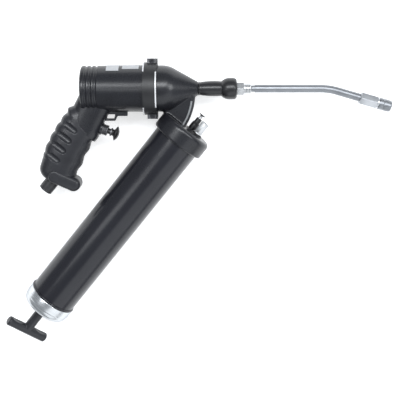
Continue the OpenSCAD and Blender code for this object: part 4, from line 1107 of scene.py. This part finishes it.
# Table: a plain pale floor under the gun.
# It is white to the camera and in reflections, and keeps the gun's shadow.
floor_shape = bmesh.new()
bmesh.ops.create_grid(floor_shape, x_segments=1, y_segments=1, size=30)
floor_data = bpy.data.meshes.new("floor")
floor_shape.to_mesh(floor_data)
floor_shape.free()
floor = added("floor", floor_data)
floor.location.z = -0.0005
floor_white, floor_tree, floor_shader = material("floor_white", (0.82, 0.82, 0.82), 0.9)
floor_shader.inputs["Specular IOR Level"].default_value = 0
floor_shader.inputs["Emission Color"].default_value = (1, 1, 1, 1)
path = floor_tree.nodes.new("ShaderNodeLightPath")
seen = floor_tree.nodes.new("ShaderNodeMath")
seen.operation = "MAXIMUM"
join(floor_tree, path, "Is Camera Ray", seen, 0)
join(floor_tree, path, "Is Glossy Ray", seen, 1)
seen_too = floor_tree.nodes.new("ShaderNodeMath")
seen_too.operation = "MAXIMUM"
join(floor_tree, seen, "Value", seen_too, 0)
join(floor_tree, path, "Is Transmission Ray", seen_too, 1)
lift = floor_tree.nodes.new("ShaderNodeMath")
lift.operation = "MULTIPLY"
lift.inputs[1].default_value = 0.6
join(floor_tree, seen_too, "Value", lift, 0)
join(floor_tree, lift, "Value", floor_shader, "Emission Strength")
floor_data.materials.append(floor_white)

# Studio light: a long soft light over the gun's top side, a small one at each end, a wide weak one
# opposite and an even room.
world = bpy.data.worlds.new("room")
world.use_nodes = True
world.node_tree.nodes["Background"].inputs["Color"].default_value = (0.9, 0.95, 1, 1)
world.node_tree.nodes["Background"].inputs["Strength"].default_value = 0.35
bpy.context.scene.world = world


def soft_light(name, place, aim, size, power):
    """A soft box that faces a point of the gun."""
    lamp = bpy.data.lights.new(name, "AREA")
    lamp.shape = "RECTANGLE"
    lamp.size, lamp.size_y = size
    lamp.energy = power
    lamp.color = (0.95, 0.975, 1)
    made = added(name, lamp)
    made.location = place
    made.rotation_euler = (Vector(aim) - Vector(place)).to_track_quat("-Z", "Y").to_euler()


soft_light("key_light", (-0.08, 0.68, 1.32), (-0.02, 0.1, 0.03), (1.35, 0.34), 16)
soft_light("side_light", (-0.74, 0.12, 1.25), (-0.05, 0.02, 0.03), (0.26, 0.6), 1.25)
soft_light("front_light", (0.98, 0.42, 1.2), (0.03, 0.08, 0.03), (0.55, 0.45), 7)
soft_light("fill_light", (0.5, -1.1, 1.0), (0, 0, 0.03), (2.0, 1.5), 9.4)

# Camera: a long lens above the lying gun.
# It stands a little towards the gun's top side and looks back at the middle.
camera_data = bpy.data.cameras.new("camera")
camera_data.sensor_width = 36
camera_data.lens = 72
camera = added("camera", camera_data)
lean = math.radians(11)
distance = 0.963
aim_at = crossing + Vector((-0.02222, -0.133, 0))
camera.location = aim_at + distance * Vector((0, math.sin(lean), math.cos(lean)))
camera.rotation_euler = (-lean, 0, 0)
bpy.context.scene.camera = camera
bpy.context.scene.view_settings.view_transform = "Standard"
